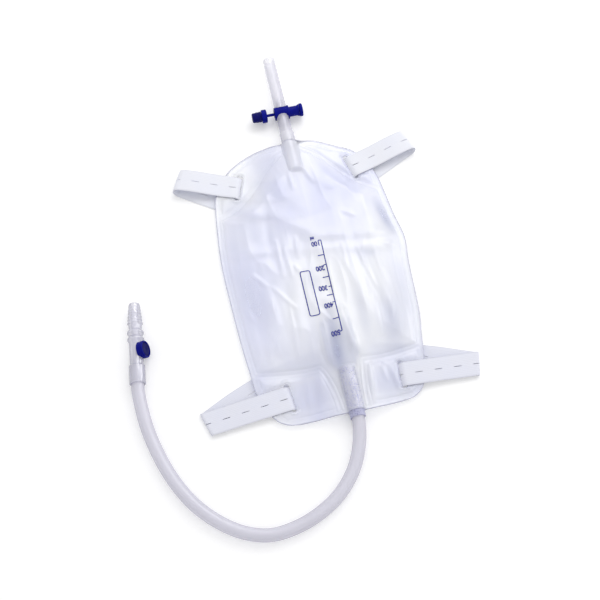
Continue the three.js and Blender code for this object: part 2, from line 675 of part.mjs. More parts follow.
// The connector about its own Y axis, from the tip at 0 to the cuff's end, bore all through
function connectorBody() {
  const outer = [[CONNECTOR_BORE_R, 0]];
  for (const { start, end, from, to } of BARB_STEPS) {
    outer.push([from, start]);
    outer.push([to, end]);
  }
  const lastBarb = BARB_STEPS[BARB_STEPS.length - 1];
  outer.push([CONNECTOR_NECK_R, lastBarb.end]);
  for (const at of GRIP_RINGS_AT) {
    outer.push([CONNECTOR_NECK_R, at - GRIP_RING_HALF]);
    outer.push([GRIP_RING_R, at - 0.5]);
    outer.push([GRIP_RING_R, at + 0.5]);
  }
  const cuffStart = CONNECTOR_LENGTH - CUFF_LENGTH;
  outer.push([CONNECTOR_BARREL_R, GRIP_RINGS_AT[1] + GRIP_RING_HALF]);
  outer.push([CONNECTOR_BARREL_R, cuffStart]);
  outer.push([CUFF_R, cuffStart + 0.6]);
  outer.push([CUFF_R, CONNECTOR_LENGTH]);
  outer.push([HOSE_R + GAP, CONNECTOR_LENGTH]);
  outer.push([HOSE_R + GAP, CONNECTOR_LENGTH - SOCKET_DEPTH]);
  outer.push([CONNECTOR_BORE_R, CONNECTOR_LENGTH - SOCKET_DEPTH]);
  outer.push([CONNECTOR_BORE_R, 0]);
  const boss = rod(SAMPLE_BOSS_R, 0, SAMPLE_BOSS_REACH).rotateZ(-Math.PI / 2).translate(0, SAMPLE_PORT_AT, 0);
  const bossBore = rod(SAMPLE_BOSS_BORE_R, 0, 2 * SAMPLE_BOSS_REACH).rotateZ(-Math.PI / 2).translate(0, SAMPLE_PORT_AT, 0);
  const bore = rod(CONNECTOR_BORE_R, GRIP_RINGS_AT[0], CONNECTOR_LENGTH - SOCKET_DEPTH);
  return toGeometry(toSolid(turned(outer)).add(toSolid(boss)).subtract(toSolid(bore)).subtract(toSolid(bossBore)));
}

// The sampling port's ring about its own Y axis, saddled over the barrel
function sampleCollar() {
  const end = COLLAR_START + COLLAR_LENGTH;
  const septumR = COLLAR_R - COLLAR_LIP;
  const shelf = end - SEPTUM_THICKNESS - 2 * GAP;
  const collar = turned([
    [SAMPLE_BOSS_R + GAP, COLLAR_START],
    [COLLAR_R, COLLAR_START],
    [COLLAR_R, end - 0.6],
    [COLLAR_R - 0.6, end],
    [septumR, end],
    [septumR, shelf],
    [SAMPLE_BOSS_R + GAP, shelf],
    [SAMPLE_BOSS_R + GAP, COLLAR_START],
  ]);
  const barrel = new THREE.CylinderGeometry(
    CONNECTOR_BARREL_R + GAP,
    CONNECTOR_BARREL_R + GAP,
    4 * COLLAR_R,
    32,
  ).rotateZ(Math.PI / 2);
  return toGeometry(toSolid(collar).subtract(toSolid(barrel)));
}

function sampleSeptum() {
  const end = COLLAR_START + COLLAR_LENGTH - GAP;
  return rod(COLLAR_R - COLLAR_LIP - GAP, end - SEPTUM_THICKNESS, end);
}

function catheterConnector() {
  const connector = new THREE.Group();
  const heading = degToRad(CONNECTOR_HEADING);
  const tipX = CONNECTOR_END.x + CONNECTOR_LENGTH * Math.cos(heading);
  const tipY = CONNECTOR_END.y + CONNECTOR_LENGTH * Math.sin(heading);
  connector.position.set(tipX, tipY, CONNECTOR_Z);
  connector.rotation.z = heading + Math.PI / 2;
  const rolled = new THREE.Group();
  rolled.rotation.y = Math.PI + degToRad(SAMPLE_PORT_ROLL);
  rolled.add(named('connector_body', connectorBody(), CLEAR_PVC));
  const sample = new THREE.Group();
  sample.position.y = SAMPLE_PORT_AT;
  sample.rotation.z = -Math.PI / 2;
  sample.add(named('sample_port_collar', sampleCollar(), TAP_BLUE));
  sample.add(named('sample_port_septum', sampleSeptum(), NAVY));
  rolled.add(sample);
  connector.add(rolled);
  return connector;
}

function inletHose() {
  const path = new THREE.CatmullRomCurve3(
    HOSE_ROUTE.map((p) => new THREE.Vector3(...p)),
    false,
    'centripetal',
  );
  const section = new THREE.Shape();
  section.absarc(0, 0, HOSE_R, 0, 2 * Math.PI, false);
  const options = { steps: HOSE_STEPS, extrudePath: path, curveSegments: 5, bevelEnabled: false };
  return named('inlet_hose', new THREE.ExtrudeGeometry(section, options), CLEAR_PVC);
}

// A stretch of strap about one slot. a runs outward from the slot along the front layer,
// over the fold and back under; across is positive toward +Y. The reach is from the slot
// to the fold's outer edge.
function strapCorner(corner, side, upper) {
  const { heading, reach, foldTilt, loop } = corner;
  const centre = slotCentre(corner, side, upper);
  const outward = new THREE.Vector2(Math.cos(degToRad(heading)), Math.sin(degToRad(heading)));
  const acrossDir = new THREE.Vector2(-outward.y, outward.x).multiplyScalar(side);
  const tilt = degToRad(foldTilt * side);
  const half = STRAP_THICKNESS / 2;
  const backZ = half;
  const frontZ = EDGE_Z + GAP / 2 + FILM + GAP + half;
  const underZ = EDGE_Z - GAP / 2 - FILM - GAP - half;
  const innerZ = backZ + STRAP_THICKNESS + GAP;
  const wrap = Math.PI * loop;
  const turn = reach - loop - half;

  function heightAt(a, toFold) {
    if (a < -SLOT_RUN) return lerp(innerZ, underZ, smoothstep(a, -INNER_RUN, -SLOT_RUN));
    if (a < SLOT_RUN) return lerp(underZ, frontZ, smoothstep(a, -SLOT_RUN, SLOT_RUN));
    return lerp(backZ + 2 * loop, frontZ, smoothstep(-toFold, FOLD_EASE[0], FOLD_EASE[1] * reach));
  }

  function at(a, across) {
    const toFold = (a - turn) * Math.cos(tilt) + across * Math.sin(tilt) * side;
    let beyond = toFold;
    let z = heightAt(a, toFold);
    if (toFold > 0 && toFold < wrap) {
      beyond = loop * Math.sin(toFold / loop);
      z = backZ + loop + loop * Math.cos(toFold / loop);
    } else if (toFold >= wrap) {
      beyond = wrap - toFold;
      z = backZ;
    }
    const shift = beyond - toFold;
    const flatA = a + shift * Math.cos(tilt);
    const flatW = across + shift * Math.sin(tilt) * side;
    const x = centre.x + flatA * outward.x + flatW * acrossDir.x;
    const y = centre.y + flatA * outward.y + flatW * acrossDir.y;
    return new THREE.Vector3(x, y, z);
  }

  return { at, turn, wrap, innerEnd: -INNER_RUN, outerEnd: turn + wrap + STRAP_BACK_RUN };
}

// A level curve from one corner's end to the other's, leaving each along the strap
function strapCurve(left, right, endName, handle) {
  const ends = [left, right].map((corner) => {
    const end = corner[endName];
    const p = corner.at(end, 0);
    const before = corner.at(end - Math.sign(end), 0);
    return { p, away: p.clone().sub(before).setZ(0).normalize() };
  });
  const [from, to] = ends;
  const flat = (v) => new THREE.Vector3(v.x, v.y, 0);
  return new THREE.CubicBezierCurve3(
    flat(from.p),
    flat(from.p.clone().addScaledVector(from.away, handle)),
    flat(to.p.clone().addScaledVector(to.away, handle)),
    flat(to.p),
  );
}

// A stretch of strap along a level curve, from its left end to its right
function strapRun(curve, from, to, heightAt) {
  const length = curve.getLength();
  const at = (s, across) => {
    const u = clamp(s / length, 0, 1);
    const p = curve.getPointAt(u);
    const t = curve.getTangentAt(u);
    return new THREE.Vector3(p.x - t.y * across, p.y + t.x * across, heightAt(p.x));
  };
  return { at, from: from * length, to: to * length };
}

// One strap as a ring: from its lower end behind the bag, round the left fold, through both
// slots, round the right fold, to its upper end behind the bag
function strapRing(leftCorner, rightCorner, upper, { outerHandle, innerHandle, innerMiddleZ }) {
  const left = strapCorner(leftCorner, -1, upper);
  const right = strapCorner(rightCorner, 1, upper);
  const outer = strapCurve(left, right, 'outerEnd', outerHandle);
  const inner = strapCurve(left, right, 'innerEnd', innerHandle);
  const half = STRAP_THICKNESS / 2;
  const layer = STRAP_THICKNESS + GAP;
  const [level, flat] = BUTTON_RISE.map((past) => BUTTON_R + past);
  const nearMiddle = (x) => 1 - smoothstep(Math.abs(x), level, flat);
  const lower = (x) => half + (BUTTON_HEAD + GAP) * nearMiddle(x);
  const higher = (x) => lower(x) + layer * nearMiddle(x);
  const through = (x) => lerp(half + layer, innerMiddleZ, nearMiddle(x));
  const over = STRAP_OVERLAP / 2 / outer.getLength();
  const pieces = [
    { run: strapRun(outer, 0.5 + over, 0, lower) },
    { corner: left, from: left.outerEnd, to: left.innerEnd },
    { run: strapRun(inner, 0, 1, through) },
    { corner: right, from: right.innerEnd, to: right.outerEnd },
    { run: strapRun(outer, 1, 0.5 - over, higher) },
  ];
  let start = 0;
  const spans = pieces.map(({ run, corner, from, to }) => {
    const a = run ? run.from : from;
    const b = run ? run.to : to;
    const span = { at: (run || corner).at, corner, a, b, start, end: start + Math.abs(b - a) };
    start = span.end;
    return span;
  });
  const middle = outer.getPointAt(0.5);
  const point = (s, across) => {
    const span = spans.find((one) => s <= one.end + 1e-6) || spans[spans.length - 1];
    return span.at(lerp(span.a, span.b, (s - span.start) / (span.end - span.start)), across);
  };
  return { point, spans, middle, length: start };
}

// Stations along a strap: every slit's ends, and closer steps round folds and slots
function strapStations({ spans, length }, firstSlit) {
  const slotAt = spans[1].end + spans[1].b;
  const phase = (slotAt - firstSlit) % SLIT_PITCH;
  const slits = [];
  for (let s = phase; s < length - SLIT_LENGTH; s += SLIT_PITCH) {
    const fromEnds = Math.min(s, length - s);
    if (fromEnds > STRAP_OVERLAP) slits.push([s - SLIT_LENGTH / 2, s + SLIT_LENGTH / 2]);
  }
  const stations = new Set([0, length]);
  const addRange = (from, to, step) => stretches([from, to], step).forEach((p) => stations.add(p));
  addRange(0, BUTTONED_RUN, BUTTON_STEP);
  addRange(length - BUTTONED_RUN, length, BUTTON_STEP);
  for (const { corner, start, a, b } of spans.filter((span) => span.corner)) {
    const local = (value) => start + (value - a) * Math.sign(b - a);
    const run = (from, to, step) => addRange(...[local(from), local(to)].sort((p, q) => p - q), step);
    run(-SLOT_RUN, SLOT_RUN, SLOT_STEP);
    const { turn, wrap } = corner;
    run(turn - FOLD_MARGIN, turn + wrap + FOLD_MARGIN, Math.max(1, wrap / FOLD_STEPS));
  }
  const ends = slits.flat().concat([0, length]);
  const spare = [...stations].filter((p) => ends.every((e) => Math.abs(e - p) > SHORTEST_STEP));
  const sorted = ends.concat(spare).sort((p, q) => p - q);
  const thinned = sorted.filter((p, k) => k === 0 || p - sorted[k - 1] > SHORTEST_STEP || ends.includes(p));
  const inSlit = (a, b) => slits.some(([from, to]) => a > from - 1e-6 && b < to + 1e-6);
  return { stations: thinned, inSlit };
}

// The woven band with its slits left open
function bandGeometry({ point }, { stations, inSlit }) {
  const lanes = [-STRAP_WIDTH / 2, -SLIT_WIDTH / 2, SLIT_WIDTH / 2, STRAP_WIDTH / 2];
  const positions = [];
  const step = 0.05;
  const offset = (s, across, side) => {
    const along = point(s + step, across).sub(point(s - step, across));
    const wide = point(s, across + step).sub(point(s, across - step));
    const normal = along.cross(wide).normalize();
    return point(s, across).addScaledVector(normal, (side * STRAP_THICKNESS) / 2);
  };
  for (const side of [-1, 1]) {
    for (const s of stations) {
      for (const across of lanes) positions.push(...offset(s, across, side).toArray());
    }
  }
  const indices = [];
  const rows = stations.length;
  const id = (side, i, j) => (side > 0 ? rows * 4 : 0) + i * 4 + j;
  const quad = (a, b, c, d) => indices.push(a, b, c, a, c, d);
  const filled = (i, j) => {
    if (i < 0 || j < 0 || i + 1 >= rows || j > 2) return false;
    return j !== 1 || !inSlit(stations[i], stations[i + 1]);
  };
  for (let i = 0; i + 1 < rows; i += 1) {
    for (let j = 0; j < 3; j += 1) {
      if (!filled(i, j)) continue;
      quad(id(1, i, j), id(1, i + 1, j), id(1, i + 1, j + 1), id(1, i, j + 1));
      quad(id(-1, i, j), id(-1, i, j + 1), id(-1, i + 1, j + 1), id(-1, i + 1, j));
      if (!filled(i - 1, j)) quad(id(-1, i, j), id(1, i, j), id(1, i, j + 1), id(-1, i, j + 1));
      if (!filled(i + 1, j)) quad(id(-1, i + 1, j + 1), id(1, i + 1, j + 1), id(1, i + 1, j), id(-1, i + 1, j));
      if (!filled(i, j - 1)) quad(id(-1, i + 1, j), id(1, i + 1, j), id(1, i, j), id(-1, i, j));
      if (!filled(i, j + 1)) quad(id(-1, i, j + 1), id(1, i, j + 1), id(1, i + 1, j + 1), id(-1, i + 1, j + 1));
    }
  }
  const geometry = new THREE.BufferGeometry();
  geometry.setAttribute('position', new THREE.Float32BufferAttribute(positions, 3));
  geometry.setIndex(indices);
  geometry.computeVertexNormals();
  return geometry;
}

// Two heads on a shank, about +Z, standing on the table
function strapButton() {
  const grip = 2 * STRAP_THICKNESS + 3 * GAP;
  const top = 2 * BUTTON_HEAD + grip;
  return turned([
    [0, 0],
    [BUTTON_R, 0],
    [BUTTON_R, BUTTON_HEAD],
    [BUTTON_SHANK_R, BUTTON_HEAD],
    [BUTTON_SHANK_R, BUTTON_HEAD + grip],
    [BUTTON_R, BUTTON_HEAD + grip],
    [BUTTON_R, top - 0.3],
    [BUTTON_R - 0.3, top],
    [0, top],
  ], 16).rotateX(Math.PI / 2);
}

function strap(name, leftCorner, rightCorner, upper, sizes) {
  const group = new THREE.Group();
  const ringPath = strapRing(leftCorner, rightCorner, upper, sizes);
  const band = bandGeometry(ringPath, strapStations(ringPath, sizes.firstSlit));
  const { x, y } = ringPath.middle;
  const hole = new THREE.CylinderGeometry(BUTTON_SHANK_R + GAP, BUTTON_SHANK_R + GAP, 4 * PORT_Z, 16)
    .rotateX(Math.PI / 2)
    .translate(x, y, 0);
  group.add(named(name, toGeometry(toSolid(band).subtract(toSolid(hole))), ELASTIC));
  const button = named(`${name}_button`, strapButton(), ELASTIC);
  button.position.set(x, y, 0);
  group.add(button);
  return group;
}

function straps() {
  const both = new THREE.Group();
  both.add(strap('upper_strap', CORNERS.upperLeft, CORNERS.upperRight, true, UPPER_STRAP));
  both.add(strap('lower_strap', CORNERS.lowerLeft, CORNERS.lowerRight, false, LOWER_STRAP));
  return both;
}

// Everything, moved so that the footprint of all but the free hose is centred on the origin
function drainageBag() {
  const held = new THREE.Group();
  held.add(filmBag(), drainTap(), drainTubes(), straps());
  const footprint = new THREE.Box3().setFromObject(held, true).getCenter(new THREE.Vector3());
  const whole = new THREE.Group();
  whole.name = 'urine_drainage_bag';
  whole.add(held, inletHose(), catheterConnector());
  whole.position.set(-footprint.x, -footprint.y, 0);
  const part = new THREE.Group();
  part.add(whole);
  return part;
}

export default drainageBag();
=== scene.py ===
"""A leg-worn urine drainage bag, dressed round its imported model.

Shapes are laid out in millimetres in the bag's own frame: x = 0 is the bag's centre line, +Y runs
from the flat inlet end to the domed drain end, and z = 0 is the table. place() turns them into the
row frame, in metres.
"""

import bmesh
import bpy
import numpy as np
from mathutils import Matrix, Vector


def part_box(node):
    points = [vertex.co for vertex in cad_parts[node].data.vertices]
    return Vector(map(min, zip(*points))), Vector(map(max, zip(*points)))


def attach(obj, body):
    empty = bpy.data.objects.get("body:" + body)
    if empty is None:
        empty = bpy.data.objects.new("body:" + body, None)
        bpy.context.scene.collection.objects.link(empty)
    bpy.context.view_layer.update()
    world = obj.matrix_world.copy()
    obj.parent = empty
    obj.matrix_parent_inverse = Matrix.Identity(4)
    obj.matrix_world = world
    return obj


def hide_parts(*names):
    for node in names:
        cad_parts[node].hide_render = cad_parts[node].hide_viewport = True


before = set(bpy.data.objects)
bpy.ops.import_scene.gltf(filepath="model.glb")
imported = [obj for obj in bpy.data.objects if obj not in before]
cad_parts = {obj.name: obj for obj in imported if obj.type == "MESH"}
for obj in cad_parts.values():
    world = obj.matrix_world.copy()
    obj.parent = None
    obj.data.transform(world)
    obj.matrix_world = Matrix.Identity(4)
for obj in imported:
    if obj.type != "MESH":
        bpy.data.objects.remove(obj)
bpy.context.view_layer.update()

MM = 0.001
ACROSS, UP_THE_BAG, UP = np.eye(3)
INLET_PORT_START_Y = -110.0
INLET_INNER_Y, OUTLET_INNER_Y = -70.0, 108.0
FLAT_END_Y = -105.0
BAG_LENGTH = 239.0
DOME_END_Y = FLAT_END_Y + BAG_LENGTH
OUTLET_X = -1.0
PORT_Z = 7.75
PORT_LOW, PORT_HIGH = (np.array(corner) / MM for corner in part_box("inlet_port"))
SHIFT = np.array([(PORT_LOW[0] + PORT_HIGH[0]) / 2, PORT_LOW[1] - INLET_PORT_START_Y, 0.0])


def place(points):
    """Bag frame in millimetres to row frame in metres."""
    return (np.asarray(points, float) + SHIFT) * MM


def add_object(name, data, axes=None, at=None):
    """Links an object; axes and at turn and place the camera and the lamps."""
    thing = bpy.data.objects.new(name, data)
    bpy.context.scene.collection.objects.link(thing)
    if axes is not None:
        matrix = np.eye(4)
        matrix[:3] = np.column_stack([*axes, at])
        thing.matrix_world = Matrix(matrix.tolist())
    return thing


# Camera

CAMERA_TARGET = (-21.3, -3.1, 0.0)
CAMERA_TURN = np.radians(12.15)
CAMERA_ELEVATION = np.radians(65.0)
CAMERA_DISTANCE = 1000.0
CAMERA_LENS = 76.8
SENSOR = 36.0


def make_camera():
    """A level camera at the photograph's height and turn, aimed at a point on the table."""
    data = bpy.data.cameras.new("camera")
    data.lens = CAMERA_LENS
    data.sensor_width = SENSOR
    right = np.array([np.cos(CAMERA_TURN), -np.sin(CAMERA_TURN), 0.0])
    level = np.cos(CAMERA_ELEVATION)
    back = np.array([right[1] * level, -right[0] * level, np.sin(CAMERA_ELEVATION)])
    at = place(CAMERA_TARGET + back * CAMERA_DISTANCE)
    bpy.context.scene.camera = add_object("camera", data, (right, np.cross(back, right), back), at)


make_camera()

# Meshes


def smooth(value, low, high):
    """0 below low, 1 above high, and 3t^2 - 2t^3 between."""
    t = np.clip((value - low) / (high - low), 0.0, 1.0)
    return t * t * (3.0 - 2.0 * t)


def unit(vectors):
    """Vectors made one long."""
    vectors = np.asarray(vectors, float)
    return vectors / np.linalg.norm(vectors, axis=-1, keepdims=True)


def steps(path):
    """Length of each step of a path."""
    return np.linalg.norm(np.diff(path, axis=0), axis=1)


def distances(path):
    """Distance along a path at each of its points."""
    return np.concatenate([[0], np.cumsum(steps(path))])


def grid_faces(rows, columns, wrap_rows=False, wrap_columns=False):
    """Four-cornered faces of a grid of points, row by row; either way may close on itself."""
    index = np.arange(rows * columns).reshape(rows, columns)
    index = np.pad(index, ((0, int(wrap_rows)), (0, int(wrap_columns))), mode="wrap")
    corners = index[:-1, :-1], index[:-1, 1:], index[1:, 1:], index[1:, :-1]
    return np.stack(corners, -1).reshape(-1, 4)


def add_piece(name, points, faces, finish, node=None, body="bag", uv=None):
    """A mesh piece from points in the bag frame. finish is a material and a slot name, which is
    not used; node is the solid that the piece replaces, and uv one pair per point."""
    mesh = bpy.data.meshes.new(name)
    mesh.from_pydata(place(points).reshape(-1, 3).tolist(), [], faces)
    mesh.shade_smooth()
    if uv is not None:
        corner = np.zeros(len(mesh.loops), np.int32)
        mesh.loops.foreach_get("vertex_index", corner)
        pairs = np.asarray(uv, np.float32).reshape(-1, 2)[corner]
        mesh.uv_layers.new(name="uv").data.foreach_set("uv", pairs.ravel())
    material, slot = finish
    mesh.materials.append(material)
    piece = add_object(name, mesh)
    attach(piece, body)
    if node:
        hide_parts(node)
    return piece


def clean_shell(piece, merge=1e-6, sharp=50):
    """Merges doubled points, turns every face outward and keeps edges past an angle sharp."""
    shell = bmesh.new()
    shell.from_mesh(piece.data)
    bmesh.ops.remove_doubles(shell, verts=shell.verts, dist=merge)
    bmesh.ops.recalc_face_normals(shell, faces=shell.faces)
    shell.to_mesh(piece.data)
    shell.free()
    piece.data.shade_smooth()
    piece.data.set_sharp_from_angle(angle=np.radians(sharp))
    return piece


def thicken(piece, name, thickness):
    """Gives an open sheet its thickness, outward from the face that was drawn."""
    wall = piece.modifiers.new(name, "SOLIDIFY")
    wall.thickness = thickness * MM
    wall.offset = 1.0


def rounded(profile, radius, closed=True):
    """A profile whose corners are each replaced by a curve, start (1 - t)^2 + 2 corner t (1 - t)
    + end t^2, that starts and ends at most radius from the corner."""
    profile = np.array(profile, float)
    t = np.array([[0.0], [0.33], [0.67], [1.0]])
    points = []
    for k, corner in enumerate(profile):
        if not closed and k in (0, len(profile) - 1):
            points.append(corner)
            continue
        legs = profile[k - 1] - corner, profile[(k + 1) % len(profile)] - corner
        reach = min(radius, *(np.linalg.norm(leg) * 0.45 for leg in legs))
        start, end = (corner + unit(leg) * reach for leg in legs)
        points.extend(start * (1 - t) ** 2 + 2 * corner * t * (1 - t) + end * t * t)
    return np.array(points)


def axes_of(direction):
    """Two unit vectors that stand square to a direction, the second as near up as it can be."""
    side = unit(np.cross(direction, UP))
    return side, np.cross(side, unit(direction))


def spokes(side, up, count):
    """Unit vectors round an axis: the angle's cosine times side plus its sine times up."""
    angle = np.linspace(0, 2 * np.pi, count, endpoint=False)[:, None]
    return np.cos(angle) * side + np.sin(angle) * up


def turned(name, profile, origin, direction, finish, node=None, radius=0.3, sides=72, body="bag", seat=None):
    """A turned piece: each profile point is [distance from the axis, distance along it], and the
    profile runs round the axis. One that starts on the axis ends there too, and any other closes
    on itself. seat, where given, turns the distances along into ones that follow a barrel."""
    closed = profile[0][0] > 0
    profile = rounded(profile, radius, closed)
    spoke = spokes(*axes_of(direction), sides)
    along = seat(profile, spoke) if seat else profile[:, 1:]
    points = origin + profile[:, None, :1] * spoke + along[..., None] * unit(direction)
    faces = grid_faces(len(profile), sides, closed, True)
    return clean_shell(add_piece(name, points, faces, finish, node, body))


def pipe_profile(outer, bore, start, end):
    return [(bore, start), (outer, start), (outer, end), (bore, end)]


def spline(points, per_span):
    """A centripetal curve through the points (Catmull and Rom's), per_span steps between two:
    straight blends of neighbours, then blends of those, each by its share of the knots."""
    p = np.array(points, float)
    p = np.vstack([2 * p[0] - p[1], p, 2 * p[-1] - p[-2]])
    out = []
    for k in range(1, len(p) - 2):
        layer = list(p[k - 1 : k + 3])
        knots = np.cumsum([0.0, *np.sqrt(steps(p[k - 1 : k + 3]))])
        t = np.linspace(knots[1], knots[2], per_span, endpoint=False)[:, None]
        for first, last in (((0, 1, 2), (1, 2, 3)), ((0, 1), (2, 3)), ((1,), (2,))):
            pairs = zip(first, last, layer, layer[1:])
            layer = [
                (knots[j] - t) / (knots[j] - knots[i]) * a + (t - knots[i]) / (knots[j] - knots[i]) * b
                for i, j, a, b in pairs
            ]
        out.append(layer[0])
    return np.vstack(out + [p[-2][None, :]])


def swept(name, path, outer, bore, finish, node, sides=40):
    """A tube wall carried along a path: rings of the outer radius out, rings of the bore back."""
    tangent = unit(np.gradient(path, axis=0))
    side = unit(np.cross(tangent, UP))
    spoke = spokes(side[:, None], np.cross(side, tangent)[:, None], sides)
    rings = np.vstack([path[:, None] + outer * spoke, (path[:, None] + bore * spoke)[::-1]])
    along = distances(path) * MM
    around = np.linspace(0, 1, sides, endpoint=False)
    uv = np.stack(np.meshgrid(np.concatenate([along, along[::-1]]), around, indexing="ij"), -1)
    faces = grid_faces(len(rings), sides, True, True)
    return clean_shell(add_piece(name, rings, faces, finish, node, uv=uv), 1e-9)


# Materials


def put(tree, node, key, value):
    """Links an output to a node's input, or writes a plain value into it."""
    if isinstance(value, bpy.types.NodeSocket):
        tree.links.new(value, node.inputs[key])
    else:
        node.inputs[key].default_value = value


def add_node(tree, kind, inputs=None, **settings):
    node = tree.nodes.new(kind)
    for key, value in settings.items():
        setattr(node, key, value)
    for key, value in (inputs or {}).items():
        put(tree, node, key, value)
    return node.outputs


def seen_rays(tree):
    """1 for what the camera sees at once, in gloss or through clear pieces, and 0 for the light
    that falls on the object."""
    path = add_node(tree, "ShaderNodeLightPath")
    seen = path["Is Camera Ray"]
    for ray in ("Is Glossy Ray", "Is Transmission Ray"):
        seen = add_node(tree, "ShaderNodeMath", {0: seen, 1: path[ray]}, operation="MAXIMUM")[0]
    return seen


class Finish:
    """A material with one Principled shader, and short ways to add the nodes that vary it."""

    def __init__(self, name, color, roughness, **sockets):
        self.material = bpy.data.materials.new(name)
        self.material.use_nodes = True
        self.material.diffuse_color = (*color, 1.0)
        self.tree = self.material.node_tree
        self.below = None
        self.set("Base Color", (*color, 1.0))
        self.set("Roughness", roughness)
        for socket, value in sockets.items():
            self.set(socket.replace("_", " "), value)

    def set(self, socket, value):
        put(self.tree, self.tree.nodes["Principled BSDF"], socket, value)

    def node(self, kind, inputs=None, **settings):
        return add_node(self.tree, f"ShaderNode{kind}", inputs, **settings)

    def object_space(self, scale=(1, 1, 1)):
        return self.node("Mapping", {"Vector": self.node("TexCoord")["Object"], "Scale": scale})[0]

    def split(self, vector):
        return self.node("SeparateXYZ", {0: vector})

    def up_the_bag(self, low, high, to_low, to_high):
        """A value that changes between two heights up the bag, in mm."""
        low, high = (place((0, y, 0))[1] for y in (low, high))
        return self.spread(self.split(self.object_space())[1], low, high, to_low, to_high)

    def noise(self, scale, stretch=(1, 1, 1), detail=3.0, roughness=0.5):
        inputs = {"Scale": scale, "Detail": detail, "Roughness": roughness}
        return self.node("TexNoise", {"Vector": self.object_space(stretch), **inputs})["Fac"]

    def weld_dots(self):
        """Distance from the middles of scattered dots, about 1.6 mm apart."""
        inputs = {"Vector": self.object_space(), "Scale": 620.0, "Randomness": 0.5}
        return self.node("TexVoronoi", inputs)["Distance"]

    def attribute(self, name):
        return self.node("Attribute", attribute_name=name)["Fac"]

    def math(self, operation, *values):
        return self.node("Math", dict(enumerate(values)), operation=operation)[0]

    def times(self, a, b, plus=0.0):
        return self.math("MULTIPLY_ADD", a, b, plus)

    def spread(self, value, low, high, to_low=0.0, to_high=1.0):
        return self.node("MapRange", {0: value, 1: low, 2: high, 3: to_low, 4: to_high})[0]

    def blend(self, factor, first, second):
        ends = [(*end, 1.0) if isinstance(end, tuple) else end for end in (first, second)]
        return self.node("Mix", {0: factor, 6: ends[0], 7: ends[1]}, data_type="RGBA")[2]

    def mottled(self, pattern, low, high, first, second):
        return self.blend(self.spread(pattern, low, high), first, second)

    def bump(self, height, strength, distance):
        """Fine relief, on top of any that was given before."""
        inputs = {"Height": height, "Strength": strength, "Distance": distance}
        if self.below is not None:
            inputs["Normal"] = self.below
        self.below = self.node("Bump", inputs)[0]
        self.set("Normal", self.below)

    def rim(self, blend, power):
        """How far a surface turns away from the view, raised to a power."""
        return self.math("POWER", self.node("LayerWeight", {"Blend": blend})["Facing"], power)

    def set_alpha(self, alpha, shade):
        """Clear material: light on its way to a lamp is held back by only a share of the alpha."""
        shadow = self.node("LightPath")["Is Shadow Ray"]
        self.set("Alpha", self.times(alpha, self.spread(shadow, 0.0, 1.0, 1.0, shade)))


def film_finish(name, face_alpha):
    """Clear soft film: a thin lavender tint, cloudier in places and at grazing angles, painted
    darker and greyer in bands that stand for shade and a dimmer reflection, greyer at the cut
    edge, stamped with dots over the inlet port, and with a hatch where the weld attribute is high."""
    film = Finish(name, (0.86, 0.88, 1.0), 0.22, IOR=1.9)
    cloud = film.noise(14.0, (1, 0.45, 1))
    tint = film.mottled(cloud, 0.38, 0.6, (0.805, 0.825, 0.99), (0.95, 0.96, 1.0))
    # Painted shade: the tint goes darker and greyer along the bands of shade and dimmer reflection
    tint = film.blend(film.attribute("painted_shade"), tint, (0.42, 0.46, 0.68))
    stamp = film.times(film.spread(film.weld_dots(), 0.5, 0.15), film.attribute("stamped"))
    tint = film.blend(stamp, tint, (0.38, 0.39, 0.66))
    cut = film.attribute("cut")
    film.set("Base Color", film.blend(cut, tint, (0.56, 0.57, 0.70)))
    alpha = film.times(film.rim(0.35, 2.0), 0.28, face_alpha)
    alpha = film.times(film.spread(cloud, 0.3, 0.7, -1.0, 1.0), 0.03, alpha)
    alpha = film.times(alpha, film.spread(film.attribute("fused"), 0.0, 1.0, 1.0, 0.92))
    film.set_alpha(film.times(cut, 0.2, alpha), 0.2)
    film.set("Roughness", film.spread(cloud, 0.3, 0.7, 0.15, 0.25))
    film.bump(film.noise(45.0, (1, 0.3, 1), 2.0), 0.25, 0.0014)
    film.bump(film.noise(1500.0, detail=1.0), 0.006, 0.0002)
    hatch_inputs = {"Vector": film.object_space(), "Scale": 320.0}
    hatch = film.node("TexWave", hatch_inputs, bands_direction="DIAGONAL")["Fac"]
    film.bump(film.times(hatch, film.attribute("weld")), 0.03, 0.0003)
    return film.material


def tube_finish(name, middle, edge, face_alpha, rim_alpha, rim_power, roughness=0.14, coat=0.35,
                coat_ior=1.7, welded_to=None):
    """Clear tube or moulding: pale in the middle and denser toward its outline, where a darker
    colour is painted in for the refraction at the wall's edge, with faint flow marks in the wall.
    Below welded_to, a height up the bag, the wall is thinned by its weld and clearer."""
    tube = Finish(
        name, middle, roughness, IOR=1.6, Coat_Weight=coat, Coat_IOR=coat_ior, Coat_Roughness=0.03
    )
    haze = tube.spread(tube.noise(60.0, (1, 0.25, 1), 2.0), 0.3, 0.7, -1.0, 1.0)
    # Painted dark outline: the colour turns to the edge colour where the wall turns away from the view,
    # standing for refraction
    rim = tube.math("MAXIMUM", tube.times(haze, 0.03, tube.rim(0.5, rim_power)), 0.0)
    tube.set("Base Color", tube.blend(rim, middle, edge))
    alpha = tube.times(rim, rim_alpha, face_alpha)
    if welded_to is not None:
        alpha = tube.times(alpha, tube.up_the_bag(welded_to - 2, welded_to, 0.35, 1.0))
    tube.set_alpha(alpha, 0.3)
    tube.bump(tube.noise(90.0, (1, 0.15, 1), 1.0), 0.02, 0.0004)
    return tube.material


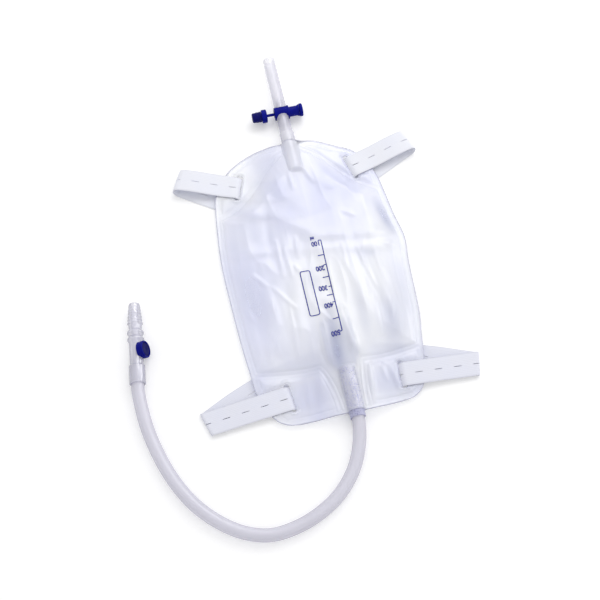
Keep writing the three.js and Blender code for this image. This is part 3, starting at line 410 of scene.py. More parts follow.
def port_finish():
    """The inlet port's soft tube: lavender, with small weld dots stamped into it and cloudy
    where the weld took."""
    port = Finish("stamped_port", (0.40, 0.41, 0.62), 0.3, IOR=1.5)
    dots = port.weld_dots()
    cloud = port.spread(port.noise(150.0, (1, 0.7, 1)), 0.4, 0.6)
    dotted = port.mottled(dots, 0.15, 0.5, (0.25, 0.26, 0.49), (0.60, 0.60, 0.82))
    port.set("Base Color", port.blend(port.times(cloud, 0.6), dotted, (0.70, 0.71, 0.92)))
    alpha = port.times(port.rim(0.5, 1.6), 0.3, 0.7)
    port.set_alpha(port.times(cloud, -0.2, alpha), 0.6)
    port.bump(dots, 0.6, 0.0005)
    return port.material


LEAF_ROOT_Y, LEAF_OPEN_Y = -46, -24


def leaf_finish():
    """The valve's two leaves: greyer film than the bag's, dense at the root and fading toward
    the open end."""
    leaf = Finish("valve_leaf_film", (0.48, 0.52, 0.75), 0.3, IOR=1.6)
    cloud = leaf.spread(leaf.noise(60.0, (1, 0.4, 1)), 0.35, 0.65)
    leaf.set("Base Color", leaf.blend(cloud, (0.43, 0.46, 0.68), (0.60, 0.64, 0.84)))
    fade = leaf.up_the_bag(LEAF_ROOT_Y, LEAF_OPEN_Y, 1.0, 0.12)
    leaf.set_alpha(leaf.times(leaf.spread(cloud, 0.0, 1.0, 0.5, 0.3), fade), 0.4)
    leaf.bump(leaf.noise(240.0, (1, 0.3, 1), 2.0), 0.2, 0.0004)
    return leaf.material


def dappled(name, color, light, roughness, gloss, scale, detail, low, high):
    """An opaque finish that goes from one colour to a lighter one as noise rises, and the noise."""
    finish = Finish(name, color, roughness, IOR=1.5, Specular_IOR_Level=gloss)
    pattern = finish.noise(scale, detail=detail)
    finish.set("Base Color", finish.mottled(pattern, low, high, color, light))
    return finish, pattern


def moulded_finish(name, color, light, roughness, gloss):
    """Opaque moulded plastic: even gloss with a faint mottle and fine mould texture."""
    moulded, mottle = dappled(name, color, light, roughness, gloss, 180.0, 4.0, 0.35, 0.7)
    moulded.set("Roughness", moulded.spread(mottle, 0.3, 0.7, roughness * 0.8, roughness * 1.3))
    moulded.bump(moulded.noise(2600.0, detail=2.0), 0.1, 0.0001)
    return moulded.material


def rubber_finish(name, color, gloss):
    """Smooth dark rubber with a little dust."""
    dusty = tuple(c * 1.8 + 0.002 for c in color)
    rubber, dust = dappled(name, color, dusty, 0.4, gloss, 900.0, 3.0, 0.4, 0.75)
    rubber.bump(dust, 0.15, 0.0001)
    return rubber.material


RIB = 0.00135
WEFT = 0.0009


def elastic_finish(name, shade, light):
    """Woven elastic: ribs along the strap are the sine of the distance across it, and the weft's
    beads the sine of the distance along times the cosine of half the rib's angle, with fuzz.
    The colour is painted shade in the weave's low parts and painted light on its raised ones,
    with painted shade along the strap's two edges. The UV map runs along and across the strap
    in metres."""
    elastic = Finish(name, light, 0.82, IOR=1.45, Sheen_Weight=0.25, Sheen_Roughness=0.4)
    along, across, _ = elastic.split(elastic.node("UVMap", uv_map="uv")[0])
    rib = elastic.math("SINE", elastic.times(across, 2 * np.pi / RIB))
    weft = elastic.math("SINE", elastic.times(along, 2 * np.pi / WEFT))
    bead = elastic.times(weft, elastic.math("COSINE", elastic.times(across, np.pi / RIB)))
    fuzz = elastic.noise(900.0, detail=4.0, roughness=0.6)
    height = elastic.times(fuzz, 0.5, elastic.times(bead, 0.35, rib))
    # Painted shade and light: low parts of the weave take the shade colour, raised ones the light colour
    shaded_weave = elastic.mottled(height, -1.2, 1.6, shade, light)
    wash = elastic.spread(elastic.noise(70.0, detail=2.0), 0.3, 0.7, 0.0, 0.5)
    shaded_weave = elastic.blend(wash, shaded_weave, tuple(c * s for c, s in zip(light, (0.94, 0.95, 1.0))))
    # Painted shade: the colour darkens along the strap's two edges
    painted_edge_shade = elastic.spread(elastic.math("ABSOLUTE", across), 0.0083, 0.0092, 0.0, 0.5)
    elastic.set("Base Color", elastic.blend(painted_edge_shade, shaded_weave, tuple(c * 0.84 for c in shade)))
    elastic.bump(height, 0.18, 0.00008)
    return elastic.material


def ink_finish():
    """Blue printing ink, thinner in places."""
    ink = Finish("scale_ink", (0.02, 0.025, 0.22), 0.5, IOR=1.5, Specular_IOR_Level=0.25)
    ends = (0.012, 0.015, 0.19), (0.07, 0.08, 0.36)
    ink.set("Base Color", ink.mottled(ink.noise(700.0), 0.35, 0.75, *ends))
    return ink.material


def floor_finish():
    """Plain white paper. A little glow, seen only by the camera and by gloss, lifts the lit
    floor to white and leaves the object's shadow on it."""
    floor = Finish("white_table", (0.88, 0.88, 0.885), 0.9, Specular_IOR_Level=0.0)
    floor.set("Emission Color", (1.0, 1.0, 1.0, 1.0))
    floor.set("Emission Strength", floor.times(seen_rays(floor.tree), 0.22))
    return floor.material


# Each finish with its slot; a clear one gives its colour in the middle and at the outline,
# where the darker colour is a painted outline standing for refraction, its alpha there, and the
# power by which the one goes over into the other
SOFT_TUBE = (0.85, 0.84, 0.92), (0.30, 0.30, 0.44), 0.31, 0.55, 2.2
PORT_TUBE = (0.93, 0.93, 0.99), (0.40, 0.39, 0.56), 0.31, 0.5, 2.0
HOSE_TUBE = (0.84, 0.83, 0.925), (0.28, 0.26, 0.40), 0.6, 0.4, 2.0
MOULDING = (0.86, 0.85, 0.98), (0.01, 0.01, 0.12), 0.38, 0.62, 1.1
FRONT_PVC = film_finish("front_film_pvc", 0.34), "clear_film"
BACK_PVC = film_finish("back_film_pvc", 0.36), "clear_film"
CLEAR_TUBE = tube_finish("clear_tube_pvc", *SOFT_TUBE), "clear_tube"
LINK_TUBE = tube_finish("link_tube_pvc", *SOFT_TUBE, welded_to=DOME_END_Y), "clear_tube"
CLEAR_PORT = tube_finish("clear_port_pvc", *PORT_TUBE, welded_to=DOME_END_Y), "clear_tube"
HOSE_PVC = tube_finish("hose_pvc", *HOSE_TUBE, roughness=0.22), "clear_tube"
CLEAR_RIGID = tube_finish("clear_moulding", *MOULDING, 0.06, 1.0, 2.4), "clear_rigid"
STAMPED_PORT = port_finish(), "port_tube"
ROYAL = (0.0015, 0.004, 0.20), (0.003, 0.007, 0.25), 0.22, 0.07
DEEP = (0.001, 0.002, 0.10), (0.003, 0.004, 0.13), 0.34, 0.1
WHITE = (0.78, 0.78, 0.83), (0.86, 0.86, 0.9), 0.4, 0.5
# The lower strap's weave is the upper's made darker: painted shade, as both straps are one elastic
UPPER_WEAVE = (0.83, 0.84, 0.91), (0.88, 0.89, 0.95)
SHADED_LOWER_WEAVE = (0.77, 0.78, 0.87), (0.82, 0.83, 0.915)
BLUE = moulded_finish("royal_blue_plastic", *ROYAL), "blue_plastic"
NAVY = moulded_finish("navy_plastic", *DEEP), "navy_plastic"
WHITE_PLASTIC = moulded_finish("white_plastic", *WHITE), "white_plastic"
UPPER_ELASTIC = elastic_finish("upper_strap_elastic", *UPPER_WEAVE), "elastic"
SHADED_LOWER_ELASTIC = elastic_finish("lower_strap_elastic_shaded", *SHADED_LOWER_WEAVE), "elastic"
NAVY_RUBBER = rubber_finish("navy_rubber", (0.001, 0.002, 0.08), 0.05), "navy_rubber"
SEAL = rubber_finish("seal_rubber", (0.02, 0.02, 0.024), 0.12)
VALVE_LEAF = leaf_finish()
INK = ink_finish()

# Inlet hose: the route is the CAD's, from inside the inlet port to inside the connector's cuff

HOSE_RADIUS = 5.0
HOSE_BORE = 3.4
HOSE_ROUTE = [
    (0, -96, 7.75), (0, -103, 7.75), (0, -110, 7.75), (-1, -118, 7.4), (-4, -130, 6.3),
    (-12, -147, 5.2), (-27, -164, 5.1), (-45, -175, 5.1), (-63, -181, 5.1), (-81, -182.5, 5.1),
    (-98, -177.5, 5.1), (-114, -167, 5.1), (-130, -150, 5.1), (-141.5, -130, 5.1),
    (-149.5, -108, 5.1), (-154.8, -84, 5.5), (-156.4, -66, 6.4), (-156.58, -54, 6.7),
    (-156, -49, 6.7), (-155.2, -42.1, 6.7), (-154.42, -35.4, 6.7),
]
hose_path = spline(HOSE_ROUTE, 9)
hose = swept("inlet_hose_tube", hose_path, HOSE_RADIUS, HOSE_BORE, HOSE_PVC, "inlet_hose")

# Catheter connector

CONNECTOR_CUFF_END = np.array([-156.0, -49.0, 6.7])
CONNECTOR_LENGTH = 66.4
CONNECTOR_HEADING = np.radians(83.4)
CONNECTOR_WAY = np.array([np.cos(CONNECTOR_HEADING), np.sin(CONNECTOR_HEADING), 0.0])
CONNECTOR_TIP = CONNECTOR_CUFF_END + CONNECTOR_LENGTH * CONNECTOR_WAY
SAMPLE_PORT_AT = 39.6
SAMPLE_ROLL = np.radians(25.0)
SAMPLE_WAY = np.cos(SAMPLE_ROLL) * np.cross(CONNECTOR_WAY, UP) + np.sin(SAMPLE_ROLL) * UP
SAMPLE_ORIGIN = CONNECTOR_TIP - SAMPLE_PORT_AT * CONNECTOR_WAY
BARREL_R = 5.4
COLLAR_GAP = 0.3
CONNECTOR_PROFILE = [
    (2.9, 0.0), (4.1, 0.0), (4.3, 0.5), (4.75, 2.9), (4.45, 3.3), (5.05, 5.8), (4.65, 6.2),
    (5.25, 8.5), (4.8, 8.9), (5.6, 11.1), (5.1, 11.6), (5.75, 13.9), (5.3, 14.3), (6.1, 16.6),
    (5.15, 17.4), (5.05, 21.6), (6.55, 23.8), (6.55, 24.9), (5.0, 27.15), (6.55, 29.3), (6.55, 30.4),
    (BARREL_R, 32.7), (BARREL_R, 51.1), (6.3, 51.7), (6.3, 66.0), (5.9, 66.4), (5.3, 66.4),
    (5.3, 51.9), (2.9, 51.9),
]
BOSS_PROFILE = [(1.8, 5.2), (4.2, 5.2), (4.2, 6.0), (1.8, 6.0)]
COLLAR_PROFILE = [
    (4.5, 3.6), (6.8, 3.6), (6.8, 7.0), (6.4, 7.3), (6.8, 7.6), (6.8, 8.3), (6.3, 8.8), (5.5, 8.8),
    (5.4, 6.1), (4.5, 6.1),
]
SEPTUM_PROFILE = [(0.0, 6.4), (5.2, 6.4), (5.2, 8.3), (4.4, 8.55), (1.6, 8.4), (0.0, 8.2)]


def barrel_top(profile, spoke, axis, radius):
    """Height of a barrel's surface under a turned piece that stands on it: the square root of
    the radius squared less the distance to one side of the barrel's axis squared."""
    off_axis = np.linalg.norm(np.cross(profile[:, None, :1] * spoke, axis), axis=-1)
    return np.sqrt(np.maximum(radius**2 - off_axis**2, 0.0))


def over_connector(profile, spoke):
    """The sampling ring's inner end follows the connector's barrel where it meets it."""
    along = profile[:, 1:]
    top = barrel_top(profile, spoke, CONNECTOR_WAY, BARREL_R + COLLAR_GAP)
    return np.maximum(along, top + 0.05 * (along - along.min()))


connector = turned(
    "catheter_connector", CONNECTOR_PROFILE, CONNECTOR_TIP, -CONNECTOR_WAY, CLEAR_RIGID,
    "connector_body", radius=0.22, sides=96,
)
boss = turned("sample_port_boss", BOSS_PROFILE, SAMPLE_ORIGIN, SAMPLE_WAY, CLEAR_RIGID, radius=0.2)
collar = turned(
    "sample_port_ring", COLLAR_PROFILE, SAMPLE_ORIGIN, SAMPLE_WAY, BLUE, "sample_port_collar",
    radius=0.25, sides=96, seat=over_connector,
)
septum = turned(
    "sample_port_disc", SEPTUM_PROFILE, SAMPLE_ORIGIN, SAMPLE_WAY, NAVY_RUBBER, "sample_port_septum"
)

# Film bag

GAP = 0.3
FILM = 0.35
BAG_HALF = 73.0
SEAM_Y = -64.0
FLANGE = 5.0
EDGE_Z = 3.2
RIDGE = 26.0
POUCH_TOP_Z = 9.2
POUCH_RAMP = 20.0
FLAP_RAMP = 16.0
DOME_SEAL = 8.0
DOME_DROP = 54.0
DOME_DROP_HALF = 42.0
OUTLINE_STEP = 0.5
FLAP_BOW = 7.0
FUNNEL_HALF = 7.0
# The funnel's flare to each side at the flap seam, and the length over which it closes
LEFT_FLARE, RIGHT_FLARE = (10.8, 20.0), (5.5, 14.0)
SEAM_SHOULDER = 0.7
TABLE_CLEARANCE = 0.6
# Film over the ports: radius, and half width where it meets the weld
OVER_INLET, OVER_OUTLET = (6.3, 7.2), (6.15, 6.9)
INLET_SPREAD = 1.4
BROAD_WRINKLE, THIN_WRINKLE = 1.1, 0.35
END_SLANT = 3.2
# Stamped beads: height, distance and half width, from the seam, the border and a slot's edge
SEAM_BEADS = ((0.45, -0.9, 0.8), (0.3, -4.6, 0.6))
HEM_BEADS = ((0.16, 0.7, 0.6), (0.1, 4.3, 0.5))
SLOT_LIP = ((0.7, 1.9, 0.7),)
# The film's sides: share of the length, and the left and right edge in shares of BAG_HALF
SIDES = np.array([
    (0, 0.58, 0.54), (0.0028, 0.66, 0.615), (0.0095, 0.73, 0.66), (0.025, 0.805, 0.715),
    (0.07, 0.9, 0.78), (0.13, 0.965, 0.83), (0.205, 0.985, 0.865), (0.3, 1.01, 0.915),
    (0.48, 1.035, 0.95), (0.575, 1.042, 0.98), (0.66, 1.03, 0.935), (0.8, 0.985, 0.88),
    (0.85, 0.95, 0.84), (0.89, 0.875, 0.77), (0.937, 0.765, 0.67), (0.97, 0.61, 0.475),
    (0.99, 0.465, 0.32), (0.9965, 0.375, 0.22), (1, 0.24, 0.09),
])
# Folds of the front film: from x, y, to x, y, height and half width
FOLDS = np.array([
    (0, -70, 0, -20, 2.2, 13), (12, -66, 0, -13, 2.2, 6), (-30, -50, -20, 20, 1.5, 6),
    (-47, -45, -42, 12, 1.2, 6), (30, -52, 24, 24, 1.5, 6), (49, -42, 42, 15, 1.2, 6),
    (-74, 42, -16, 36, 0.7, 4.5), (-16, 36, 72, 22, 0.8, 4.5), (8, 106, 26, 84, 0.6, 6),
    (-9, 106, -24, 86, 0.8, 6), (-27, 70, 0, 46, 1.0, 6), (0, 46, 31, 39, 1.0, 6),
    (31, 40, 70, 35, 1.0, 6), (-64, 84, -36, 72, 1.2, 6), (10.5, -78, 7.5, -22, 2.8, 2.6),
    (-12.5, -66, -12, -38, 1.5, 2.2), (-9.2, -19.9, -2.3, -31.9, 0.8, 1.7),
    (-61.8, -23, -60.9, -56, 0.7, 2.2), (-31.4, -10.9, -32.9, -62.5, 0.7, 1.6),
    (-17.2, -55.7, -15.7, -66, 0.8, 1.7), (-65.5, -3.5, -60.6, -17.3, 0.8, 1.7),
    (-43.5, -4, -44, -20.8, 0.8, 1.6), (-49, -30, -46, -50, 0.6, 2.0), (-40, 6, -27, -14, 0.7, 1.6),
    (-53.2, 19.8, -45.5, 9.5, 0.9, 1.8), (-58, 10, -54, -14, 0.6, 1.8), (-30.3, 45.6, -30.8, 15, 0.8, 1.6),
    (-14.3, 46.7, -16, 29.3, 0.8, 1.7), (-20, 22, -17, 15, 0.7, 1.7), (-25, 38, -24, 14, 0.8, 1.8),
    (20.2, 32.5, 19.6, 12.8, 0.8, 1.7), (31, 28, 38, -8.5, 0.8, 1.7), (43.7, 23, 46.5, -6, 0.7, 1.8),
    (16, 26, 24, -4, 0.6, 2.0), (25.5, -12.4, 26.3, -29.6, 0.7, 1.6), (34.3, -16.5, 32.5, -47.8, 0.8, 1.7),
    (46.7, -21.3, 44.1, -39.8, 0.8, 1.8), (56.8, -27.7, 54.8, -58.8, 0.7, 1.8),
    (10.5, -51.3, 13.2, -64.3, 0.8, 1.8), (50, 30, 70, 21, 0.8, 2.4), (57, 69.9, 65.9, 40.6, -0.9, 2.6),
    (47.1, 79, 45.7, 56.3, 0.5, 2.4), (27.1, 62.6, 35.7, 56.2, 0.7, 1.8),
    (-34.6, 112.9, -48.6, 92.6, 0.5, 2.0), (-15.2, 108.7, -19.7, 126.2, 0.5, 1.8),
    (-7.4, 107, -6.9, 90.6, 0.7, 1.8), (3.7, 111.7, 10, 93.9, 0.7, 1.8),
    (10.1, 122.2, 32.4, 103.2, 0.5, 1.8), (-33, 74, -37, 40, -0.5, 3.2),
])
# Puckers of the two flaps, and creases of the film over the inlet port, as the folds
PUCKERS = np.array([
    (11.6, -88, 10.8, -102, 1.3, 1.4), (18.6, -70, 14.2, -101, 1.9, 1.9), (27, -70, 28, -84, 0.9, 1.8),
    (33, -68, 37, -96, 0.8, 2.2), (-13, -76, -11.5, -99, 1.2, 1.8), (-20, -72, -24, -98, 0.9, 3.0),
    (-31, -72, -33, -97, 0.8, 2.6), (-55, -70, -58, -76, 0.6, 2.0),
])
PORT_CREASES = np.array([(3.6, -76, 2.0, -106, -0.7, 1.1), (0.4, -78, 0.8, -100, 0.45, 1.2)])
# Bands of painted shade and dimmer reflection on the film: from x, y, to x, y, strength and half width
PAINTED_SHADE_BANDS = np.array([
    (-3.8, -72, -3.2, -40, 0.65, 4.8), (-3.2, -42, -2.5, -14, 0.4, 4.6), (-60, 30, -56, -20, 0.2, 12),
    (-52, 74, -40, 50, 0.3, 10), (56, 68, 63, 38, 0.6, 4), (-10, 20, -6, -6, 0.25, 5),
    (24, -6, 22, -50, 0.2, 4), (44, -16, 42, -56, 0.45, 9), (30, 24, 46, 20, 0.4, 4),
    (60, 10, 58, -40, 0.3, 8), (34, -74, 38, -98, 0.3, 15),
])


def bell(distance, half):
    """exp(-t^2), with t = distance / half."""
    return np.exp(-((distance / half) ** 2))


def outline(y):
    """Left and right edge of the film at a height: a smooth curve through the table of sides,
    whose slope at each entry is that between its two neighbours."""
    share = np.clip((np.asarray(y, float) - FLAT_END_Y) / BAG_LENGTH, 0, 1)
    at, widths = SIDES[:, 0], SIDES[:, 1:]
    slope = np.gradient(widths, axis=0) / np.gradient(at)[:, None]
    k = np.clip(np.searchsorted(at, share, side="right") - 1, 0, len(at) - 2)
    step = (at[k + 1] - at[k])[..., None]
    t = ((share - at[k])[..., None]) / step
    curve = (
        (2 * t**3 - 3 * t**2 + 1) * widths[k] + (t**3 - 2 * t**2 + t) * step * slope[k]
        + (3 * t**2 - 2 * t**3) * widths[k + 1] + (t**3 - t**2) * step * slope[k + 1]
    )
    return -curve[..., 0] * BAG_HALF, curve[..., 1] * BAG_HALF


def edge_distance(x, y):
    """Distance in from the film's outline, along the shortest of four ways; to a slanting side
    it is the distance across the bag over the square root of one plus the slant squared."""
    edges, above = np.array(outline(y)), np.array(outline(y + OUTLINE_STEP))
    slant = np.hypot(1.0, (above - edges) / OUTLINE_STEP)
    sides = np.minimum((x - edges[0]) / slant[0], (edges[1] - x) / slant[1])
    return np.minimum(sides, np.minimum(y - FLAT_END_Y, DOME_END_Y - y))


def weld_z(x):
    """The weld lies low at the long edges and rises in a ridge to the ports' centre line."""
    return EDGE_Z + (PORT_Z - EDGE_Z) * np.exp(-((x / RIDGE) ** 4))


def seam_inset(x, y):
    """How far inside the pouch's seam a point lies: the least of the distances to the side welds,
    to the domed seam, and to the flap seam with its funnel down to the inlet port."""
    left, right = outline(y)
    side = np.minimum(x - left, right - x) - FLANGE
    dome = DOME_END_Y - DOME_SEAL - DOME_DROP * (1 - bell(x, DOME_DROP_HALF)) - y
    flap = y - SEAM_Y - FLAP_BOW * np.clip(np.abs(x) / BAG_HALF, 0, 1) ** 2
    funnel = np.minimum(*(
        FUNNEL_HALF + flare * np.exp((y - SEAM_Y) / length) + way * x
        for way, (flare, length) in ((1, LEFT_FLARE), (-1, RIGHT_FLARE))
    ))
    return np.minimum(np.minimum(side, dome), np.maximum(flap, funnel))


def lattice_noise(x, y, seed):
    """Smooth noise from 0 to 1: random values on whole numbers, blended by 3t^2 - 2t^3."""
    table = np.random.default_rng(seed).random((64, 64))
    i, j = np.floor(x).astype(int), np.floor(y).astype(int)
    u, v = smooth(x - i, 0, 1), smooth(y - j, 0, 1)
    i0, j0, i1, j1 = i % 64, j % 64, (i + 1) % 64, (j + 1) % 64
    low = table[i0, j0] * (1 - u) + table[i1, j0] * u
    high = table[i0, j1] * (1 - u) + table[i1, j1] * u
    return low * (1 - v) + high * v


def fold_height(x, y, folds):
    """Sum of straight folds, each a bell across its line that fades past its two ends."""
    total = np.zeros_like(x)
    for x0, y0, x1, y1, height, half in folds:
        dx, dy = x1 - x0, y1 - y0
        t = np.clip(((x - x0) * dx + (y - y0) * dy) / (dx * dx + dy * dy), 0, 1)
        away = np.hypot(x - x0 - t * dx, y - y0 - t * dy)
        total += height * np.sin(np.pi * (0.12 + 0.76 * t)) * bell(away, half)
    return total


def tent(across, radius, half):
    """Film over a tube: the tube's arc on top, and a straight tangent down to the weld plane at
    half to each side."""
    lean = np.arcsin(radius / half)
    touch = radius * np.sin(lean)
    arc = np.sqrt(np.maximum(radius**2 - across**2, 0))
    slope = radius * np.cos(lean) - (np.abs(across) - touch) * np.tan(lean)
    return np.maximum(np.where(np.abs(across) < touch, arc, slope), 0)


def sleeve(x, y, fade):
    """Film over the two ports: it spreads a little at the inlet's inner end and hugs the outlet."""
    radius, half = OVER_INLET
    inlet_end, outlet_end = INLET_INNER_Y + GAP, OUTLET_INNER_Y - GAP
    inlet = tent(x, radius, half + INLET_SPREAD * smooth(y, -100, -74))
    inlet = inlet * (1 - smooth(y, inlet_end, inlet_end + fade))
    inlet = inlet + fold_height(x, y, PORT_CREASES) * smooth(inlet, 4.0, 5.5)
    outlet = tent(x - OUTLET_X, *OVER_OUTLET) * smooth(y, outlet_end - fade, outlet_end)
    return np.maximum(inlet, outlet)


def wrinkles(x, y):
    """Fine longitudinal wrinkles: ridges of stretched noise, two sizes, fainter where the domed
    end is drawn smooth."""
    warp = 6.0 * lattice_noise(x / 40, y / 60, 3)
    broad = lattice_noise((x + warp) / 11, y / 52, 11)
    thin = lattice_noise((x - warp) / 4.6, y / 34, 12)
    ridge = (1 - np.abs(2 * broad - 1)) ** 1.5 - 0.35
    return (BROAD_WRINKLE * ridge + THIN_WRINKLE * (thin - 0.5)) * (1 - 0.65 * smooth(y, 30, 58))


def dome_share(inset, ramp):
    """How far a film has risen from its seam: a quarter sine over the ramp."""
    return np.sin(np.pi / 2 * np.clip(inset / ramp, 0, 1))


def front_rise(x, y):
    """Height of the front film over the weld: the pouch, its folds and wrinkles, a slight pucker
    in the two flaps, and the sleeves over the ports."""
    inset = seam_inset(x, y)
    fade = smooth(y, FLAT_END_Y, FLAT_END_Y + 2 * FLANGE)
    ramp = POUCH_RAMP + FLAP_RAMP * (1 - smooth(y, -40, 20)) * smooth(inset, 0, 12)
    detail = fold_height(x, y, FOLDS) + wrinkles(x, y)
    level = POUCH_TOP_Z - weld_z(x) - GAP / 2
    pouch = level * (dome_share(inset, ramp) * fade) + SEAM_SHOULDER * smooth(inset, 0.0, 1.7)
    pouch = pouch + detail * smooth(inset, 0, 11)
    border = edge_distance(x, y)
    shoulder = smooth(-inset, FLANGE, FLANGE + 1.6) * smooth(border, FLANGE, FLANGE + 1.6)
    pucker = smooth(-inset, FLANGE, FLANGE + 5) * smooth(border, FLANGE, FLANGE + 4)
    ridges = fold_height(x, y, PUCKERS) * smooth(-inset, 1.5, 5.5) * smooth(border, 2, 6)
    flap = 0.5 * shoulder + pucker * 0.9 * lattice_noise(x / 7, y / 26, 21) + ridges
    flap = flap * (1 - under_strap(x, y))
    return np.maximum(np.maximum(pouch, flap), sleeve(x, y, 4.0))


def back_drop(x, y):
    """The back film sags to just over the table between the straps and is flat elsewhere."""
    middle = smooth(y, SEAM_Y + 20, SEAM_Y + 45) * (1 - smooth(y, 38, 60))
    room = weld_z(x) - GAP / 2 - FILM - TABLE_CLEARANCE
    sag = room * dome_share(seam_inset(x, y), POUCH_RAMP) * middle
    return np.maximum(sag * (0.82 + 0.18 * lattice_noise(x / 12, y / 40, 31)), sleeve(x, y, 5.0))


STRAP_WIDTH = 19.0
STRAP_T = 0.8
SLOT_HALF = 1.9
SLOT_STRAIGHT = (STRAP_WIDTH + 4.0) / 2 - SLOT_HALF
# Slots: their middle, and the heading, reach, tilt at the fold and loop radius of the strap there
CORNERS = {
    "upper_left": dict(x=-49.5, y=103.5, heading=161.6, reach=51.0, tilt=8.2, loop=4.0, side=-1),
    "upper_right": dict(x=44.0, y=104.0, heading=14.7, reach=54.5, tilt=6.0, loop=4.0, side=1),
    "lower_left": dict(x=-46.0, y=-83.0, heading=186.2, reach=66.4, tilt=-10.5, loop=1.4, side=-1),
    "lower_right": dict(x=41.0, y=-82.0, heading=-3.0, reach=60.0, tilt=-9.5, loop=1.4, side=1),
}


def heading_of(corner):
    """Unit vector on the level from a slot out along its strap."""
    heading = np.radians(corner["heading"])
    return np.array([np.cos(heading), np.sin(heading)])


def from_slot(corner, x, y):
    """Distance out along a strap from its slot's middle, and distance across it."""
    out = heading_of(corner)
    dx, dy = x - corner["x"], y - corner["y"]
    return dx * out[0] + dy * out[1], -dx * out[1] + dy * out[0]


def slot_distance(x, y):
    """Distance to the nearest strap slot's edge, below zero inside it, and the way out of it."""
    best, best_way = np.full(np.shape(x), 1e3), np.zeros((2, *np.shape(x)))
    for corner in CORNERS.values():
        out = heading_of(corner)
        along, across = from_slot(corner, x, y)
        past = across - np.clip(across, -SLOT_STRAIGHT, SLOT_STRAIGHT)
        reach = np.hypot(along, past)
        way = np.array([along * out[0] - past * out[1], along * out[1] + past * out[0]])
        nearer = reach - SLOT_HALF < best
        best_way = np.where(nearer, way * (1 / np.maximum(reach, 1e-6)), best_way)
        best = np.where(nearer, reach - SLOT_HALF, best)
    return best, best_way


def under_strap(x, y):
    """1 where a strap runs over the front film, from its slot outward, and 0 away from it."""
    best = np.zeros(np.shape(x))
    edge = STRAP_WIDTH / 2
    for corner in CORNERS.values():
        along, across = from_slot(corner, x, y)
        cover = smooth(along, -6, -2) * (1 - smooth(np.abs(across), edge + 0.5, edge + 3.5))
        best = np.maximum(best, cover)
    return best


def end_slant(x, y):
    """The right flap's free end was cut a little shorter, so its last stretch is drawn in."""
    return END_SLANT * smooth(x, 8, 52) * (1 - smooth(y, FLAT_END_Y, FLAT_END_Y + 16))


ROW_CROWDING = 0.055
SNAP_SHARE = 0.76


def film_sheet(name, rows, columns, height, finish, top, node):
    """One film as a grid from edge to edge. Points near a slot's edge are moved onto it, cells
    inside the slot are left out, and the sheet is then given its thickness."""
    t = np.linspace(0, 1, rows)
    y = FLAT_END_Y + BAG_LENGTH * (t - ROW_CROWDING * np.sin(2 * np.pi * t))
    left, right = outline(y)
    x = left[:, None] + (right - left)[:, None] * np.linspace(0, 1, columns)[None, :]
    cell = max(np.diff(y).max(), (right - left).max() / (columns - 1))
    y = y[:, None] * np.ones((1, columns))
    distance, way = slot_distance(x, y)
    snap = np.abs(distance) < SNAP_SHARE * cell
    x, y = np.where(snap, np.array([x, y]) - distance * way, (x, y))
    z = height(x, y)
    faces = grid_faces(rows, columns)
    kept = np.where(snap, 0.0, distance).ravel()
    middle, _ = slot_distance(x.ravel()[faces].mean(1), y.ravel()[faces].mean(1))
    faces = faces[(kept[faces].min(1) > -1e-6) & (middle > 0)]
    if not top:
        faces = faces[:, ::-1]
    used, faces = np.unique(faces, return_inverse=True)
    x, y, z = (values.ravel()[used] for values in (x, y, z))
    points = np.stack([x, y + end_slant(x, y), z], -1)
    piece = add_piece(name, points, faces.reshape(-1, 4), finish, node)
    inset, border, ring = seam_inset(x, y), edge_distance(x, y), slot_distance(x, y)[0]
    band = smooth(-inset, -0.5, 0.5) * (1 - smooth(-inset, 5.0, 6.0)) * (border > 0)
    rim = 1 - smooth(border, FLANGE - 1, FLANGE)
    eyelet = 1 - smooth(ring, 3.0, 3.8)
    inlet = 1 - smooth(y, INLET_INNER_Y - 1.5, INLET_INNER_Y + 0.5)
    inlet = (1 - smooth(np.abs(x), 5.6, 7.0)) * inlet
    outlet = smooth(y, OUTLET_INNER_Y - 0.5, OUTLET_INNER_Y + 1.5)
    outlet = (1 - smooth(np.abs(x - OUTLET_X), 5.4, 6.6)) * outlet
    # The masks go to the film as point attributes, among them the bands of painted shade and dimmer
    # reflection
    for attribute, values in (
        ("weld", np.maximum(np.maximum(band, rim), eyelet)), ("painted_shade", fold_height(x, y, PAINTED_SHADE_BANDS)),
        ("cut", 1 - smooth(border, 0.2, 1.3)), ("fused", np.maximum(inlet, outlet)), ("stamped", inlet),
    ):
        layer = piece.data.attributes.new(attribute, "FLOAT", "POINT")
        layer.data.foreach_set("value", np.clip(values, 0, 1).astype(np.float32))
    thicken(piece, "thickness", FILM)
    return piece


def beads(distance, shapes):
    """Sum of bells, each of a height, about a distance and with a half width."""
    return sum(height * bell(distance - at, half) for height, at, half in shapes)


def weld_relief(x, y):
    """Stamped relief of the welds: beads just outside the seam, stronger on the flaps, others
    inside the outer border, and a raised lip round each slot."""
    border = edge_distance(x, y)
    bead = beads(seam_inset(x, y), SEAM_BEADS) * (1 + 0.8 * (1 - smooth(y, SEAM_Y - 8, SEAM_Y)))
    hem, lip = beads(border, HEM_BEADS), beads(slot_distance(x, y)[0], SLOT_LIP)
    relief = np.maximum(np.maximum(bead * smooth(border, 2, 4), hem), lip)
    return relief * smooth(np.abs(x), 6.5, 8.5) * (1 - 0.7 * under_strap(x, y))


def front_height(x, y):
    return weld_z(x) + GAP / 2 + front_rise(x, y) + weld_relief(x, y)


def back_height(x, y):
    return weld_z(x) - GAP / 2 - back_drop(x, y)


front_film = film_sheet("front_film_sheet", 262, 178, front_height, FRONT_PVC, True, "front_film")
back_film = film_sheet("back_film_sheet", 170, 116, back_height, BACK_PVC, False, "back_film")

# Printed scale

